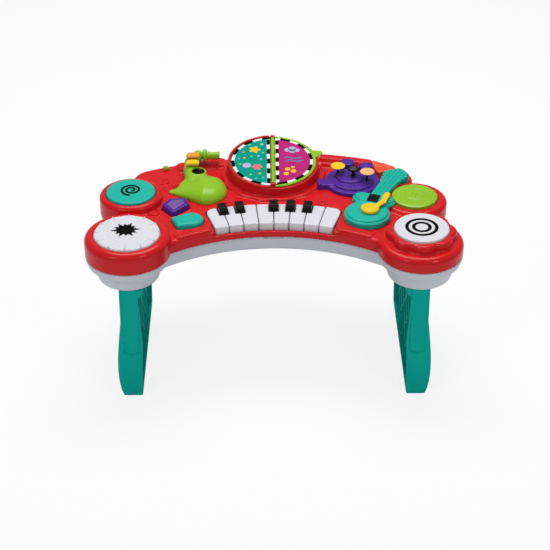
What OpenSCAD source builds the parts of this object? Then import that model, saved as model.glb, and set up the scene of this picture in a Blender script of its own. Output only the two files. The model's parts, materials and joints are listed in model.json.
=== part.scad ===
// Musical activity table for babies: a crescent deck on two plug-in side legs, with a keyboard, four
// press drums, two light buttons, a horn, a drum kit, a guitar and a flip book.
// Millimetres. +Z is up, the child sits at -Y, and the origin is the floor point under the middle.

/* [Overall] */
// Width over the two front drum lobes
table_w = 545; // [539:1:553]
// Depth from the front drum lobes to the bulge behind the book
table_d = 330; // [327:1:334]
// Height from the floor to the boss at the back of the book
table_h = 275; // [273:1:279]

/* [Housing] */
// Height of the joint between the red top shell and the pale base
seam_z = 219; // [218:0.5:220]
// Height of the deck above that joint
deck_h = 19; // [18.5:0.5:20]
// Height of the drum rims above the deck
rim_h = 13; // [12:0.5:14]
// How much lower the rear right drum's rim is than the others
cymbal_drop = 8; // [7:0.5:9]
// Height of the raised trim along the rear edge, right of the book, above the deck
rise_h = 11; // [9:0.5:12]
// Wall thickness of the shells
wall = 2.4; // [2:0.1:2.8]
// Centre of the crescent's arcs, in front of the middle
arc_y = -335; // [-337:1:-333]
// Radius of the concave front edge
front_r = 271; // [270:0.5:272]
// Radius of the rear edge
rear_r = 480; // [478:1:482]
// Radius of the rounding along the deck's edges
deck_edge = 6; // [4:0.5:7]
// Radius of the front drum lobes
front_lobe_r = 61.6; // [60:0.2:63]
// Radius of the rear left drum lobe
rear_left_lobe_r = 47; // [46:0.5:48]
// Radius of the rear right drum lobe
rear_right_lobe_r = 48.5; // [47.5:0.5:49.5]
// Distance of the rear left lobe's centre from the middle
rear_left_x = 213; // [211:1:215]
// Distance of the rear right lobe's centre from the middle
rear_right_x = 211; // [209:1:213]
// Radius of the bulge behind the book
bulge_r = 79; // [77:1:81]
// Depth of the pale base below the joint
base_h = 24; // [22:1:26]
// How far the pale base stands in from the red shell's outline
base_in = 3; // [2.6:0.2:4]
// Depth of the bowls under the front lobes, below the joint
bowl_h = 39; // [38:1:40]

/* [Legs] */
// Width of a leg, seen from the front
leg_w = 28; // [26:1:30]
// How far a leg's outer panel bows out
leg_bow = 7; // [4:1:8]
// Front of a leg at the floor
leg_front_y = -154; // [-155:1:-150]
// Back of a leg at the floor
leg_back_y = 90; // [84:1:94]
// Wall thickness of a leg
leg_wall = 2.6; // [2.2:0.2:3]
// Height of the tongues that plug into the base
tongue_h = 18; // [14:1:20]

/* [Keyboard] */
// Radius of the keys' front ends, about the crescent's centre
key_front_r = 277; // [276.5:0.5:278]
// Length of a white key
key_len = 55; // [53:1:57]
// Angle from one white key to the next
key_pitch = 4.5; // [4.45:0.01:4.55]
// Height of the white keys above the deck
key_up = 1.4; // [1:0.1:2]
// Depth of a white key's sides
key_side = 15; // [13:0.5:16]
// Width of a black key
black_w = 11; // [10:0.5:12]
// Length of a black key
black_len = 18; // [16:0.5:20]
// Height of a black key above the white ones
black_up = 7.5; // [6:0.5:9]
// Travel of a white key at its front
key_travel = 2.8; // [2:0.1:3]
// Radius of a key's hinge stubs
stub_r = 1.6; // [1.5:0.05:1.8]

/* [Drum pads] */
// Radius of the star drum's pad
star_pad_r = 47.5; // [46.5:0.5:48]
// Radius of the spiral drum's pad
spiral_pad_r = 36.8; // [36:0.2:37.4]
// Radius of the ring drum's pad
ring_pad_r = 39.5; // [38.5:0.5:40]
// Radius of the cymbal pad
cymbal_pad_r = 33.7; // [33:0.1:35]
// Travel of a pad
pad_travel = 2.5; // [2:0.1:3]
// Height of a pad's rim above the drum rim
pad_up = 3.5; // [3:0.5:4.5]
// Radius of the stem that guides a pad
stem_r = 4; // [3.6:0.1:4.4]

/* [Book] */
// Distance of the book's centre behind the middle
book_y = 84; // [83:1:85]
// Radius of the fixed page
page_r = 64.5; // [63.5:0.5:65]
// Radius of the flip page
flip_r = 66; // [65:0.5:67]
// Slope of the book, rear side up
book_tilt = 5.8; // [5:0.1:6.5]
// Thickness of a page
page_t = 3; // [2.6:0.1:3.4]
// Radius of the steel pin that the flip page turns on
pin_r = 1.25; // [1.1:0.05:1.5]

/* [Toys on the deck] */
// Height of the two light buttons above the deck
button_up = 8; // [6:0.5:9]
// Travel of the light buttons
button_travel = 2; // [1.5:0.1:2.5]
// Height of the horn's dome above the deck
horn_h = 19; // [17:1:21]
// Radius of the horn's mouthpiece
mouth_r = 6; // [5.6:0.2:6.4]
// Travel of the horn's two keys
horn_travel = 1.5; // [1:0.1:1.8]
// Radius of the drum kit's lowest tier
kit_r = 42; // [41:1:43]
// Height of the kit's top tier above the deck
kit_h = 13; // [12:0.5:14]
// Radius of the kit's two small cymbals
cymbal_r = 11; // [10:0.5:11.5]
// Radius of the kit's snare button
snare_r = 8.8; // [8.4:0.1:9]
// Radius of the guitar's lower bout
bout_r = 34; // [33:0.5:34]
// Height of the guitar above the deck
guitar_h = 12; // [11:0.5:13]
// Radius of the guitar's strumming dial
dial_r = 13.5; // [12.5:0.5:14.5]
// Travel of the volume slider
slider_travel = 12; // [10:1:14]

/* [Electrics and fasteners] */
// Radius of a battery cell
cell_r = 7.2; // [7:0.1:7.3]
// Length of a battery cell
cell_len = 50.5; // [49:0.5:51]
// Radius of the loudspeaker
speaker_r = 25; // [22:1:26]
// Thickness of the circuit boards
board_t = 1.6; // [1.2:0.2:2]
// Radius of a screw's shank
screw_r = 1.5; // [1.3:0.1:1.7]
// Radius of a screw's head
screw_head_r = 3.2; // [3:0.1:3.5]

/* [Clearances] */
// Gap round a pad, key or button in its opening
gap = 0.6; // [0.5:0.05:0.8]
// Radial running clearance of a pin or stem in its bore
run = 0.05; // [0.03:0.01:0.08]
// Gap between soft or pressed faces at rest
rest_gap = 0.3; // [0.3:0.05:0.5]

/* [Hidden] */
$fn = 64;
deck_z = seam_z + deck_h;
rim_z = deck_z + rim_h;
base_z = seam_z - base_h;
bowl_z = seam_z - bowl_h;
floor_z = base_z + wall;
flange_t = 2.6;
lobe_x = table_w / 2 - front_lobe_r;
lobe_y = front_lobe_r - table_d / 2;
rear_left_y = 12;
rear_right_y = 6;
bulge_y = table_d / 2 - bulge_r;
corner_r = 34;
corner_a = 23.7;
band_half = 23;
waist_half = atan2(lobe_x, lobe_y - arc_y) - 4.3;
waist_r = 383;
waist_drop = 0.02;
rim_edge = 10;
rear_rim_edge = 7;
ledge_z = seam_z + 9;
white_n = 8;
black_after = [1, 2, 4, 5, 6];
keys_half = white_n * key_pitch / 2;
key_z = deck_z + key_up;
key_rear_r = key_front_r + key_len;
key_corner = 12;
stub_z = seam_z + 10;
hinge_r = key_rear_r + 10;
black_hinge_r = hinge_r + 10;
well_rear_r = key_rear_r + 1.5;
lever_w = 12.6;
black_lever_w = 8;
rib_a = 1.33;
rib_t = 2;
frame_z = seam_z + 1;
frame_t = 2.5;
frame_half = keys_half + 2.6;
black_front_r = key_rear_r - black_len;
board_z = seam_z - 6;
mat_t = 2;
plunger_z = board_z + board_t + mat_t + rest_gap + key_travel;
pad_t = 3;
pad_stop_z = deck_z - 2;
washer_t = 2;
leg_x = lobe_x - 1;
leg_top_z = bowl_z;
leg_top_back_y = rear_left_y + rear_left_lobe_r - 5;
leg_back_top_z = base_z;
tongue_w = 15;
tongue_len = 20;
tongue_ys = [lobe_y - 24, 31];
socket_wall = 2;
book_boss_top = 4.5;
pin_up = 1;
barrel_r = 2.8;
rim_up = 1.2;
boss_y = 66;
page_z = table_h - boss_y * sin(book_tilt) - book_boss_top * cos(book_tilt);
turret_top_r = flip_r + 3;
turret_foot_r = turret_top_r + 4;
turret_sink = 8.15;
turret_depth = page_z - deck_z + turret_sink;
battery_w = 58;
battery_d = 50;
door_w = 76;
door_d = 56;
door_t = 2;
door_screw_x = 34.5;
cell_z = base_z + door_t + 0.5 + cell_r;
battery_top = cell_z + cell_r + 0.5;
screw_spots = [polar(288, -27), polar(288, 27), [-186, 48], [186, 48], [-92, 112], [92, 112]];
screw_seat = 6;
key_gap = 1;
cymbal_rim_z = rim_z - cymbal_drop;
cymbal_up = pad_up + 1.5;
rise_a = 13.6;
rise_half = 4.2;
rise_r0 = rear_r - 22;
rise_r1 = rear_r - 4;
lens_up = 9;
stem_low = base_z + tongue_h + pad_travel + rest_gap;
pad_top_z = rim_z + pad_up;
flange_grow = 2;
flange_top = rim_z - wall - rest_gap;
collar_up = 0.8;
collar_wall = 1.4;
collar_z = deck_z - wall - 0.8;
button_flange_top = collar_z - rest_gap;
button_board_z = seam_z + 2;
button_board_c = [-141, -32];
button_board_size = [28, 60];
cap_w = 20.5;
cap_d = 13;
cap_t = 5;
horn_stem_r = 2.5;
mouth_at = [-116, 115, deck_z + 18.2];
mouth_end_x = -82.5;
disc_t = 3;
rod_r = 1.25;
disc_z = deck_z + 22.5;
string_h = 3;
strum_z = deck_z + guitar_h + rest_gap;
strum_stem_r = 4;

red = [0.85, 0.11, 0.14];
pale = [0.67, 0.69, 0.73];
leg_teal = [0.0, 0.59, 0.55];
pad_teal = [0.12, 0.73, 0.65];
white = [0.88, 0.88, 0.92];
black = [0.1, 0.1, 0.11];
lime = [0.59, 0.78, 0.2];
purple = [0.33, 0.18, 0.59];
lilac = [0.51, 0.39, 0.63];
yellow = [0.98, 0.8, 0.16];
orange = [0.96, 0.63, 0.27];
peach = [0.98, 0.76, 0.51];
magenta = [0.75, 0.08, 0.47];
steel = [0.7, 0.71, 0.73];
board_green = [0.1, 0.4, 0.2];

// A plan point at radius r and angle a about the crescent's centre, a positive towards +X.
function polar(r, a) = [r * sin(a), arc_y + r * cos(a)];

// Half profile of a round body of radius r and height h whose top edge is rounded by e.
function soft_profile(r, h, e, n = 4) = concat([[0, 0], [r, 0]],
    [for (i = [0:e > 0 ? n : 0]) [r - e + e * cos(90 * i / n), h - e + e * sin(90 * i / n)]], [[0, h]]);

// Outline of a ring sector whose two rear corners are rounded by c.
function sector(ri, ro, a0, a1, c_left = 0, c_right = 0, n = 4) = concat(
    [for (i = [0:n]) polar(ri, a0 + (a1 - a0) * i / n)],
    corner_points(ro, a1, -1, c_right),
    let (b0 = a0 + corner_turn(ro, c_left), b1 = a1 - corner_turn(ro, c_right))
        [for (i = [n:-1:0]) polar(ro, b0 + (b1 - b0) * i / n)],
    corner_points(ro, a0, 1, c_left));
function corner_turn(ro, c) = c > 0 ? asin(c / (ro - c)) : 0;
// Points of the rounded corner, in the order in which the outline runs.
function corner_points(ro, a, side, c, n = 5) = c <= 0 ? [] :
    let (ac = a + side * corner_turn(ro, c), pc = polar(ro - c, ac),
        steps = side < 0 ? [0:n - 1] : [n - 1:-1:0])
    [for (i = steps) let (t = a - side * 90 * (1 - i / n) + (ac - a) * i / n)
        pc + c * [sin(t), cos(t)]];

module puck(p, z0, z1, r, e) {
    translate([p[0], p[1], z0]) rotate_extrude() polygon(soft_profile(r, z1 - z0, e));
}

// A band about the crescent's centre, its top edges rounded by e, the inner one only where inner is set.
module arc_band(ri, ro, half, z0, z1, e, inner = true, n = 4) {
    h = z1 - z0;
    translate([0, arc_y, z0]) rotate([0, 0, 90 - half]) rotate_extrude(angle = 2 * half)
        polygon(concat([[ri, 0], [ro, 0]],
            [for (i = [0:e > 0 ? n : 0]) [ro - e + e * cos(90 * i / n), h - e + e * sin(90 * i / n)]],
            inner && e > 0 ? [for (i = [n:-1:0]) [ri + e - e * cos(90 * i / n), h - e + e * sin(90 * i / n)]]
                : [[ri, h]]));
}

// The crescent without its drum lobes, everything moved in by the distance inset. Its bodies' tops differ
// by a hair, because openings that cross two faces of one height leave slivers.
module crescent(inset, z0, z1, e) {
    arc_band(front_r + inset, waist_r - inset, waist_half, z0, z1 - waist_drop, e);
    arc_band(key_rear_r + 6, rear_r - inset, band_half, z0, z1, e, false);
    for (side = [-1, 1])
        puck(polar(rear_r - corner_r, side * corner_a), z0, z1 - 2 * waist_drop, corner_r - inset, e);
    puck([0, bulge_y], z0, z1, bulge_r - inset, e > 0 ? e + 2.5 : 0);
}

module drum_lobes(inset, z0, z1, e_front, e_rear) {
    puck([-lobe_x, lobe_y], z0, z1, front_lobe_r - inset, e_front);
    puck([-rear_left_x, rear_left_y], z0, z1, rear_left_lobe_r - inset, e_rear);
    puck([rear_right_x, rear_right_y], z0, z1 - cymbal_drop, rear_right_lobe_r - inset, e_rear);
}

// The raised trim along the rear edge between the book and the light.
module rear_rise(inset, z0, z1, e) {
    translate([0, arc_y, 0]) rotate([0, 0, -rise_a]) translate([0, -arc_y, 0])
        arc_band(rise_r0 + inset, rise_r1 - inset, rise_half - inset / 8, z0, z1, e);
}

module in_book() {
    translate([0, book_y, page_z]) rotate([book_tilt, 0, 0]) children();
}

module half_disc(r, z0, z1, side, edge) {
    translate([0, 0, z0]) intersection() {
        cylinder(r = r, h = z1 - z0);
        translate([side > 0 ? edge : -r - edge - 1, -r - 1, -1]) cube([r + 1, 2 * r + 2, z1 - z0 + 2]);
    }
}

// ---- top shell ----

petal_n = 8;
petal_r = 17;
petal_at = 34;
ring_c = [lobe_x + 0.5, lobe_y + 4];

module well(p, r, z0) {
    translate([p[0], p[1], z0]) cylinder(r = r, h = rim_z);
}

module purple_outline(grow) {
    hull() for (p = [[-160, -14], [-152, 0], [-134, 1], [-131, -12], [-148, -30]])
        translate(p) circle(r = 5.5 + grow, $fn = 32);
}

module teal_outline(grow) {
    hull() {
        translate([-121, -52]) circle(r = 18 + grow, $fn = 48);
        translate([-145, -50]) circle(r = 5 + grow, $fn = 32);
        translate([-137, -68]) circle(r = 5 + grow, $fn = 32);
    }
}

module keyboard_well() {
    half = keys_half + 0.2;
    translate([0, 0, seam_z - 1]) linear_extrude(table_h)
        polygon(sector(key_front_r - gap, well_rear_r, -half, half, key_corner + 1, key_corner + 1, 8));
    translate([0, 0, ledge_z]) linear_extrude(table_h)
        polygon(sector(front_r - 8, key_front_r + 8, -half - 0.3, half + 0.3, 0, 0, 8));
}

slider_at = polar(468, -20.7);
slider_dir = 20.7;
kit_c = [121, 59];
kit_spots = [[99, 71], [122, 61], [142.5, 53]];
lens_pts = [[155.5, 108], [172, 100.5], [184, 94], [186.5, 90.5], [183, 88], [163.5, 79.5], [159, 89]];
dial_c = [141, -41];
horn_key_spots = [[-123, 82], [-123, 101]];
bell_c = [-114, 67];

module screw_boss(p, z0, z1, r_hole) {
    translate([p[0], p[1], z0]) difference() {
        cylinder(r = 4, h = z1 - z0);
        translate([0, 0, -1]) cylinder(r = r_hole, h = z1 - z0 + 2);
    }
}

frame_spots = [polar(hinge_r + 8, -frame_half + 1.2), polar(hinge_r + 8, frame_half - 1.2)];

module top_shell() {
    color(red) difference() {
        union() {
            difference() {
                union() {
                    crescent(0, seam_z, deck_z, deck_edge);
                    drum_lobes(0, seam_z, rim_z, rim_edge, rear_rim_edge);
                    puck([lobe_x, lobe_y], seam_z, deck_z + 3, front_lobe_r, rim_edge);
                    for (i = [0:petal_n - 1])
                        puck(ring_c + petal_at * [cos(i * 360 / petal_n), sin(i * 360 / petal_n)],
                            deck_z - 2, rim_z, petal_r, 5);
                    puck([-178, -24], deck_z - 1, deck_z + 2, 8, 1.5);
                    rear_rise(0, deck_z - 2, deck_z + rise_h, 4);
                    in_book() translate([0, 0, -turret_depth]) cylinder(r1 = turret_foot_r,
                        r2 = turret_top_r, h = turret_depth + rim_up);
                }
                crescent(wall, seam_z - 1, deck_z - wall, deck_edge - wall);
                drum_lobes(wall, seam_z - 1, rim_z - wall, rim_edge - wall, rear_rim_edge - wall);
                rear_rise(wall, deck_z - 4, deck_z + rise_h - wall, 4 - wall);
                puck([lobe_x, lobe_y], seam_z - 1, deck_z + 3 - wall, front_lobe_r - wall, rim_edge - wall);
                translate([ring_c[0], ring_c[1], seam_z])
                    cylinder(r = ring_pad_r + 5, h = rim_z - wall - seam_z);
                in_book() translate([0, 0, -turret_depth - 1]) cylinder(r1 = turret_foot_r - wall,
                    r2 = turret_top_r - wall - 1, h = turret_depth + 1 - page_t - wall);
            }
            arc_band(front_r + 1, key_front_r + 2, keys_half + 0.1, seam_z, ledge_z, 0);
            in_book() for (side = [-1, 1])
                translate([-4, side > 0 ? boss_y - 6 : -boss_y, -page_t - 1])
                    cube([8, 6, page_t + 1 + book_boss_top]);
            for (p = screw_spots) screw_boss(p, seam_z, deck_z - 1, screw_r);
            // collars round the openings of the light buttons
            translate([0, 0, collar_z]) linear_extrude(deck_z + collar_up - collar_z)
                purple_outline(gap + collar_wall);
            translate([0, 0, collar_z]) linear_extrude(deck_z + collar_up - collar_z)
                teal_outline(gap + collar_wall);
            for (p = frame_spots) screw_boss(p, frame_z + frame_t, deck_z - 1, screw_r);
        }
        well([-lobe_x, lobe_y], star_pad_r + gap, deck_z);
        well([-rear_left_x, rear_left_y], spiral_pad_r + gap, deck_z);
        well(ring_c, ring_pad_r + gap, deck_z);
        well([rear_right_x, rear_right_y], cymbal_pad_r + gap, deck_z);
        keyboard_well();
        translate([0, 0, deck_z - 5]) linear_extrude(20) purple_outline(gap);
        translate([0, 0, deck_z - 5]) linear_extrude(20) teal_outline(gap);
        // seat of the flip page, and the recess of the fixed page
        in_book() difference() {
            union() {
                half_disc(turret_foot_r + 2, -page_t, 20, 1, -5);
                half_disc(page_r + 0.4, -page_t, 20, -1, 0);
            }
            for (side = [-1, 1])
                translate([-4, side > 0 ? boss_y - 6 : -boss_y, -page_t - 1])
                    cube([8, 6, page_t + 1 + book_boss_top]);
        }
        in_book() translate([0, boss_y + 1, pin_up]) rotate([90, 0, 0])
            cylinder(r = pin_r, h = 2 * boss_y + 2);
        // slot of the volume slider
        translate([slider_at[0], slider_at[1], deck_z - 5]) rotate([0, 0, slider_dir])
            translate([-2.5, -2.5, 0]) cube([slider_travel + 5, 5, 20]);
        // openings of the strummer's pivot and the light
        translate([dial_c[0], dial_c[1], deck_z - 5]) cylinder(r = strum_stem_r + gap, h = 20);
        translate([0, 0, deck_z - 5]) linear_extrude(20) lens_outline(0);
    }
}

// ---- pale base ----

pad_spots = [[-lobe_x, lobe_y], [-rear_left_x, rear_left_y], ring_c, [rear_right_x, rear_right_y]];
pad_floors = [bowl_z + wall, floor_z, bowl_z + wall, floor_z];
speaker_c = [105, 66];
board_c = [-105, 66];
board_size = [84, 50];
board_up = 10;
key_posts = [for (a = [-keys_half + 1.5, 0, keys_half - 1.5]) polar(key_front_r + 28, a)];
main_posts = [for (sx = [-1, 1], sy = [-1, 1])
    board_c + [sx * (board_size[0] / 2 - 5), sy * (board_size[1] / 2 - 5)]];
button_posts = [button_board_c + [-9, 6], button_board_c + [9, -6]];
battery_y = book_y + 4;

// One of a leg's two tongues, or with grow the space that it goes into.
module tongue(side, i, grow, z0, z1) {
    translate([side * leg_x - tongue_w / 2 - grow, tongue_ys[i] - tongue_len / 2 - grow, z0])
        cube([tongue_w + 2 * grow, tongue_len + 2 * grow, z1 - z0]);
}
tongue_z = [bowl_z, base_z];

module bowl(side, inset, z0) {
    foot = (side < 0 ? 42 : 38) - inset;
    brim = (side < 0 ? 47 : 52) - inset;
    translate([side * lobe_x, lobe_y, 0]) rotate_extrude() polygon([[0, z0], [foot, z0],
        [foot + 2.5, z0 + 9], [brim, seam_z - 9], [brim, seam_z - (inset > 0 ? -1 : 0)],
        [0, seam_z - (inset > 0 ? -1 : 0)]]);
}

// The base's outline as straight-walled bodies.
module base_outline(inset, z0, z1) {
    crescent(inset, z0, z1, 0);
    translate([-rear_left_x, rear_left_y, z0]) cylinder(r = rear_left_lobe_r - inset, h = z1 - z0);
    translate([rear_right_x, rear_right_y, z0]) cylinder(r = rear_right_lobe_r - inset, h = z1 - z0);
}

module bottom_shell() {
    color(pale) difference() {
        union() {
            difference() {
                union() {
                    base_outline(base_in, base_z, seam_z - flange_t / 2);
                    base_outline(rest_gap, seam_z - flange_t, seam_z);
                    for (side = [-1, 1]) translate([side * lobe_x, lobe_y, seam_z - flange_t])
                        cylinder(r = front_lobe_r - rest_gap, h = flange_t);
                    for (side = [-1, 1]) bowl(side, 0, bowl_z);
                }
                base_outline(base_in + wall, floor_z, seam_z + 1);
                for (side = [-1, 1]) bowl(side, wall, bowl_z + wall);
            }
            for (i = [0:3]) translate([pad_spots[i][0], pad_spots[i][1], pad_floors[i] - 1])
                cylinder(r = stem_r + 2.5, h = pad_stop_z - washer_t - pad_floors[i] + 1);
            for (side = [-1, 1], i = [0, 1])
                tongue(side, i, rest_gap + socket_wall, tongue_z[i] + 0.5,
                    tongue_z[i] + tongue_h + socket_wall);
            for (p = screw_spots) translate([p[0], p[1], floor_z - 1])
                cylinder(r = 4.5, h = seam_z - floor_z + 1);
            for (p = key_posts) translate([p[0], p[1], floor_z - 1])
                cylinder(r = 3.5, h = board_z - floor_z + 1);
            for (p = main_posts) translate([p[0], p[1], floor_z - 1]) cylinder(r = 3, h = board_up + 1);
            for (p = button_posts) translate([p[0], p[1], floor_z - 1])
                cylinder(r = 3, h = button_board_z - floor_z + 1);
            // battery box and the speaker's ring
            translate([-battery_w / 2 - wall, battery_y - battery_d / 2 - wall, floor_z - 1])
                cube([battery_w + 2 * wall, battery_d + 2 * wall, battery_top + wall - floor_z + 1]);
            translate([-door_w / 2 - wall, battery_y - door_d / 2 - wall, floor_z - 1])
                cube([door_w + 2 * wall, door_d + 2 * wall, 3]);
            translate([door_screw_x, battery_y, floor_z - 1]) cylinder(r = 4, h = 11);
            translate([speaker_c[0], speaker_c[1], floor_z - 1]) cylinder(r = speaker_r + 3, h = 5);
        }
        for (i = [0:3]) translate([pad_spots[i][0], pad_spots[i][1], pad_floors[i]])
            cylinder(r = stem_r + run, h = table_h);
        for (side = [-1, 1], i = [0, 1])
            tongue(side, i, rest_gap, tongue_z[i] - 1, tongue_z[i] + tongue_h + 0.5);
        for (p = screw_spots) {
            translate([p[0], p[1], base_z - 1]) cylinder(r = screw_head_r + 0.4, h = 7);
            translate([p[0], p[1], base_z]) cylinder(r = screw_r + 0.3, h = base_h + 1);
        }
        translate([-battery_w / 2, battery_y - battery_d / 2, base_z - 1])
            cube([battery_w, battery_d, battery_top - base_z + 1]);
        translate([door_screw_x, battery_y, base_z]) cylinder(r = screw_r, h = 10);
        translate([-door_w / 2 - rest_gap, battery_y - door_d / 2 - rest_gap, base_z - 1])
            cube([door_w + 2 * rest_gap, door_d + 2 * rest_gap, 1 + door_t]);
        translate([speaker_c[0], speaker_c[1], floor_z]) cylinder(r = speaker_r + rest_gap, h = 10);
        for (k = [-3:3])
            translate([speaker_c[0] - 15, speaker_c[1] + 5 * k - 1, base_z - 1]) cube([30, 2, wall + 1]);
    }
}

// ---- legs ----

leg_in = leg_w / 2;
bow_z = 125;

// The outer edge of a leg's front view, from the bow's top down to the floor, outwards is negative.
function leg_outer(inset, n = 10) = [for (i = [n:-1:0]) let (t = i / n)
    [inset - leg_in - leg_bow * sin(180 * pow(t, 0.7)), inset + (bow_z - inset) * t]];

function leg_front() = concat([[leg_in, 0], [leg_in + 3, 90], [leg_in - 1.5, leg_top_z - 14],
    [leg_in + 6, leg_top_z - 9], [leg_in + 6, leg_back_top_z], [-leg_in, leg_back_top_z]], leg_outer(0));

function leg_hollow() = concat([[2 * leg_w, leg_wall], [2 * leg_w, leg_back_top_z - leg_wall],
    [leg_wall - leg_in, leg_back_top_z - leg_wall]], leg_outer(leg_wall));

function leg_side(inset) = [[leg_front_y + inset, inset], [leg_back_y - inset, inset],
    [leg_top_back_y - inset, leg_back_top_z - inset], [lobe_y + 54 + inset, leg_back_top_z - inset],
    [lobe_y + 54 + inset, leg_top_z - inset], [leg_front_y + 9 + inset, leg_top_z - inset]];

module leg_extruded(front, side) {
    intersection() {
        rotate([90, 0, 0]) translate([0, 0, -table_d]) linear_extrude(2 * table_d) polygon(front);
        rotate([90, 0, 90]) translate([0, 0, -3 * leg_w]) linear_extrude(6 * leg_w) polygon(side);
    }
}

// The left leg, open to the inside, with diagonal ribs behind its outer panel.
module left_leg_solid() {
    translate([-leg_x, 0, 0]) difference() {
        leg_extruded(leg_front(), leg_side(0));
        difference() {
            leg_extruded(leg_hollow(), leg_side(leg_wall));
            for (k = [-2:3], turn = [-42, 42])
                translate([-2 * leg_w, -32 + 48 * k, leg_top_z / 2]) rotate([turn, 0, 0])
                    translate([0, -leg_wall / 2, -table_d / 2])
                        cube([2 * leg_w + leg_in - 5, leg_wall, table_d]);
        }
    }
    for (i = [0, 1]) tongue(-1, i, 0, tongue_z[i] - leg_wall / 2, tongue_z[i] + tongue_h);
}

module left_leg() {
    color(leg_teal) left_leg_solid();
}

module right_leg() {
    color(leg_teal) mirror([1, 0, 0]) left_leg_solid();
}

// ---- keyboard ----

function key_angle(i) = (i - (white_n + 1) / 2) * key_pitch;
function black_angle(j) = key_angle(black_after[j - 1]) + key_pitch / 2;

// Children are drawn along +Y from the crescent's centre, then turned to angle a.
module on_arc(a) {
    translate([0, arc_y, 0]) rotate([0, 0, -a]) children();
}

module black_notches(grow) {
    for (j = [1:len(black_after)]) on_arc(black_angle(j))
        translate([-black_w / 2 - grow, black_front_r - grow])
            square([black_w + 2 * grow, black_len + 10 + grow]);
}

// A hinged lever along +Y: its arm, its barrel and the stubs at its sides.
module lever(w, r0, r) {
    translate([-w / 2, r0, stub_z - 3]) cube([w, r - r0, 6]);
    translate([0, r, stub_z]) rotate([0, 90, 0]) {
        cylinder(r = 3, h = w, center = true);
        cylinder(r = stub_r, h = w + 2 * (gap + rib_t), center = true);
    }
}

module white_key(i) {
    a = key_angle(i);
    half = key_pitch / 2 - asin(key_gap / 2 / key_front_r);
    c_left = i == 1 ? key_corner : 0;
    c_right = i == white_n ? key_corner : 0;
    side = asin(wall / key_front_r);
    color(white) {
        difference() {
            translate([0, 0, key_z - key_side]) linear_extrude(key_side) difference() {
                polygon(sector(key_front_r, key_rear_r, a - half, a + half, c_left, c_right));
                black_notches(gap);
            }
            translate([0, 0, key_z - key_side - 1]) linear_extrude(key_side - wall + 1) difference() {
                polygon(sector(key_front_r + wall, key_rear_r - wall, a - half + side, a + half - side,
                    max(c_left - wall, 0), max(c_right - wall, 0)));
                black_notches(gap + wall);
            }
        }
        on_arc(a) {
            lever(lever_w, key_rear_r - wall, hinge_r);
            translate([-1.5, key_front_r + 22, plunger_z]) cube([3, 3, key_z - wall / 2 - plunger_z]);
        }
    }
}

module black_key(j) {
    color(black) on_arc(black_angle(j)) {
        rotate([90, 0, 90]) translate([0, 0, -black_w / 2]) linear_extrude(black_w)
            polygon([[black_front_r, stub_z - 3], [key_rear_r, stub_z - 3], [key_rear_r, key_z + black_up],
                [black_front_r + 6, key_z + black_up], [black_front_r + 1.5, key_z + 2.5],
                    [black_front_r, key_z]]);
        lever(black_lever_w, key_rear_r - wall, black_hinge_r);
        translate([-1.5, black_front_r + 4, plunger_z]) cube([3, 3, stub_z - 2 - plunger_z]);
    }
}

module white_key_1() { white_key(1); }
module white_key_2() { white_key(2); }
module white_key_3() { white_key(3); }
module white_key_4() { white_key(4); }
module white_key_5() { white_key(5); }
module white_key_6() { white_key(6); }
module white_key_7() { white_key(7); }
module white_key_8() { white_key(8); }
module black_key_1() { black_key(1); }
module black_key_2() { black_key(2); }
module black_key_3() { black_key(3); }
module black_key_4() { black_key(4); }
module black_key_5() { black_key(5); }

module key_frame() {
    color(pale) difference() {
        union() {
            translate([0, 0, frame_z]) linear_extrude(frame_t)
                polygon(sector(hinge_r - 6, black_hinge_r + 7, -frame_half, frame_half, 0, 0, 16));
            for (i = [1:white_n], side = [-1, 1]) on_arc(key_angle(i) + side * rib_a)
                translate([-rib_t / 2, hinge_r - 4, frame_z]) cube([rib_t, 19, stub_z + 4 - frame_z]);
        }
        for (i = [1:white_n]) on_arc(key_angle(i)) translate([0, hinge_r, stub_z]) rotate([0, 90, 0])
            cylinder(r = stub_r + run, h = lever_w + 8, center = true);
        for (j = [1:len(black_after)]) on_arc(black_angle(j)) translate([0, black_hinge_r, stub_z])
            rotate([0, 90, 0]) cylinder(r = stub_r + run, h = black_lever_w + 8, center = true);
        for (p = frame_spots) translate([p[0], p[1], frame_z - 1])
            cylinder(r = screw_r + 0.3, h = frame_t + 2);
    }
}

module key_board() {
    color(board_green) translate([0, 0, board_z]) linear_extrude(board_t)
        polygon(sector(key_front_r + 9, key_rear_r - 8, -keys_half, keys_half, 0, 0, 12));
}

module key_contact_mat() {
    color(black) translate([0, 0, board_z + board_t]) linear_extrude(mat_t)
        polygon(sector(key_front_r + 15, key_rear_r - 10, -keys_half + 0.5, keys_half - 0.5, 0, 0, 12));
}

// ---- drum pads ----

// A pad with its skirt, the flange that keeps it in its lobe, and the stem that guides it.
module pad(i, r, crown, top = pad_top_z, drop = 0) {
    hub_r = stem_r + 3.5;
    lip = flange_top - drop;
    translate([pad_spots[i][0], pad_spots[i][1], 0]) rotate_extrude() polygon(concat([[0, stem_low]],
        crown, [[r, lip], [r + flange_grow, lip], [r + flange_grow, lip - 2],
        [r - 2.5, lip - 2], [r - 2.5, top - pad_t], [hub_r, top - pad_t],
        [hub_r, pad_stop_z + pad_travel + rest_gap], [stem_r, pad_stop_z + pad_travel + rest_gap],
        [stem_r, stem_low]]));
}

function pad_crown(r, rise) = [[0, pad_top_z + rise], [r * 0.6, pad_top_z + rise * 0.6],
    [r - 1.5, pad_top_z], [r, pad_top_z - 1.5]];

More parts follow.
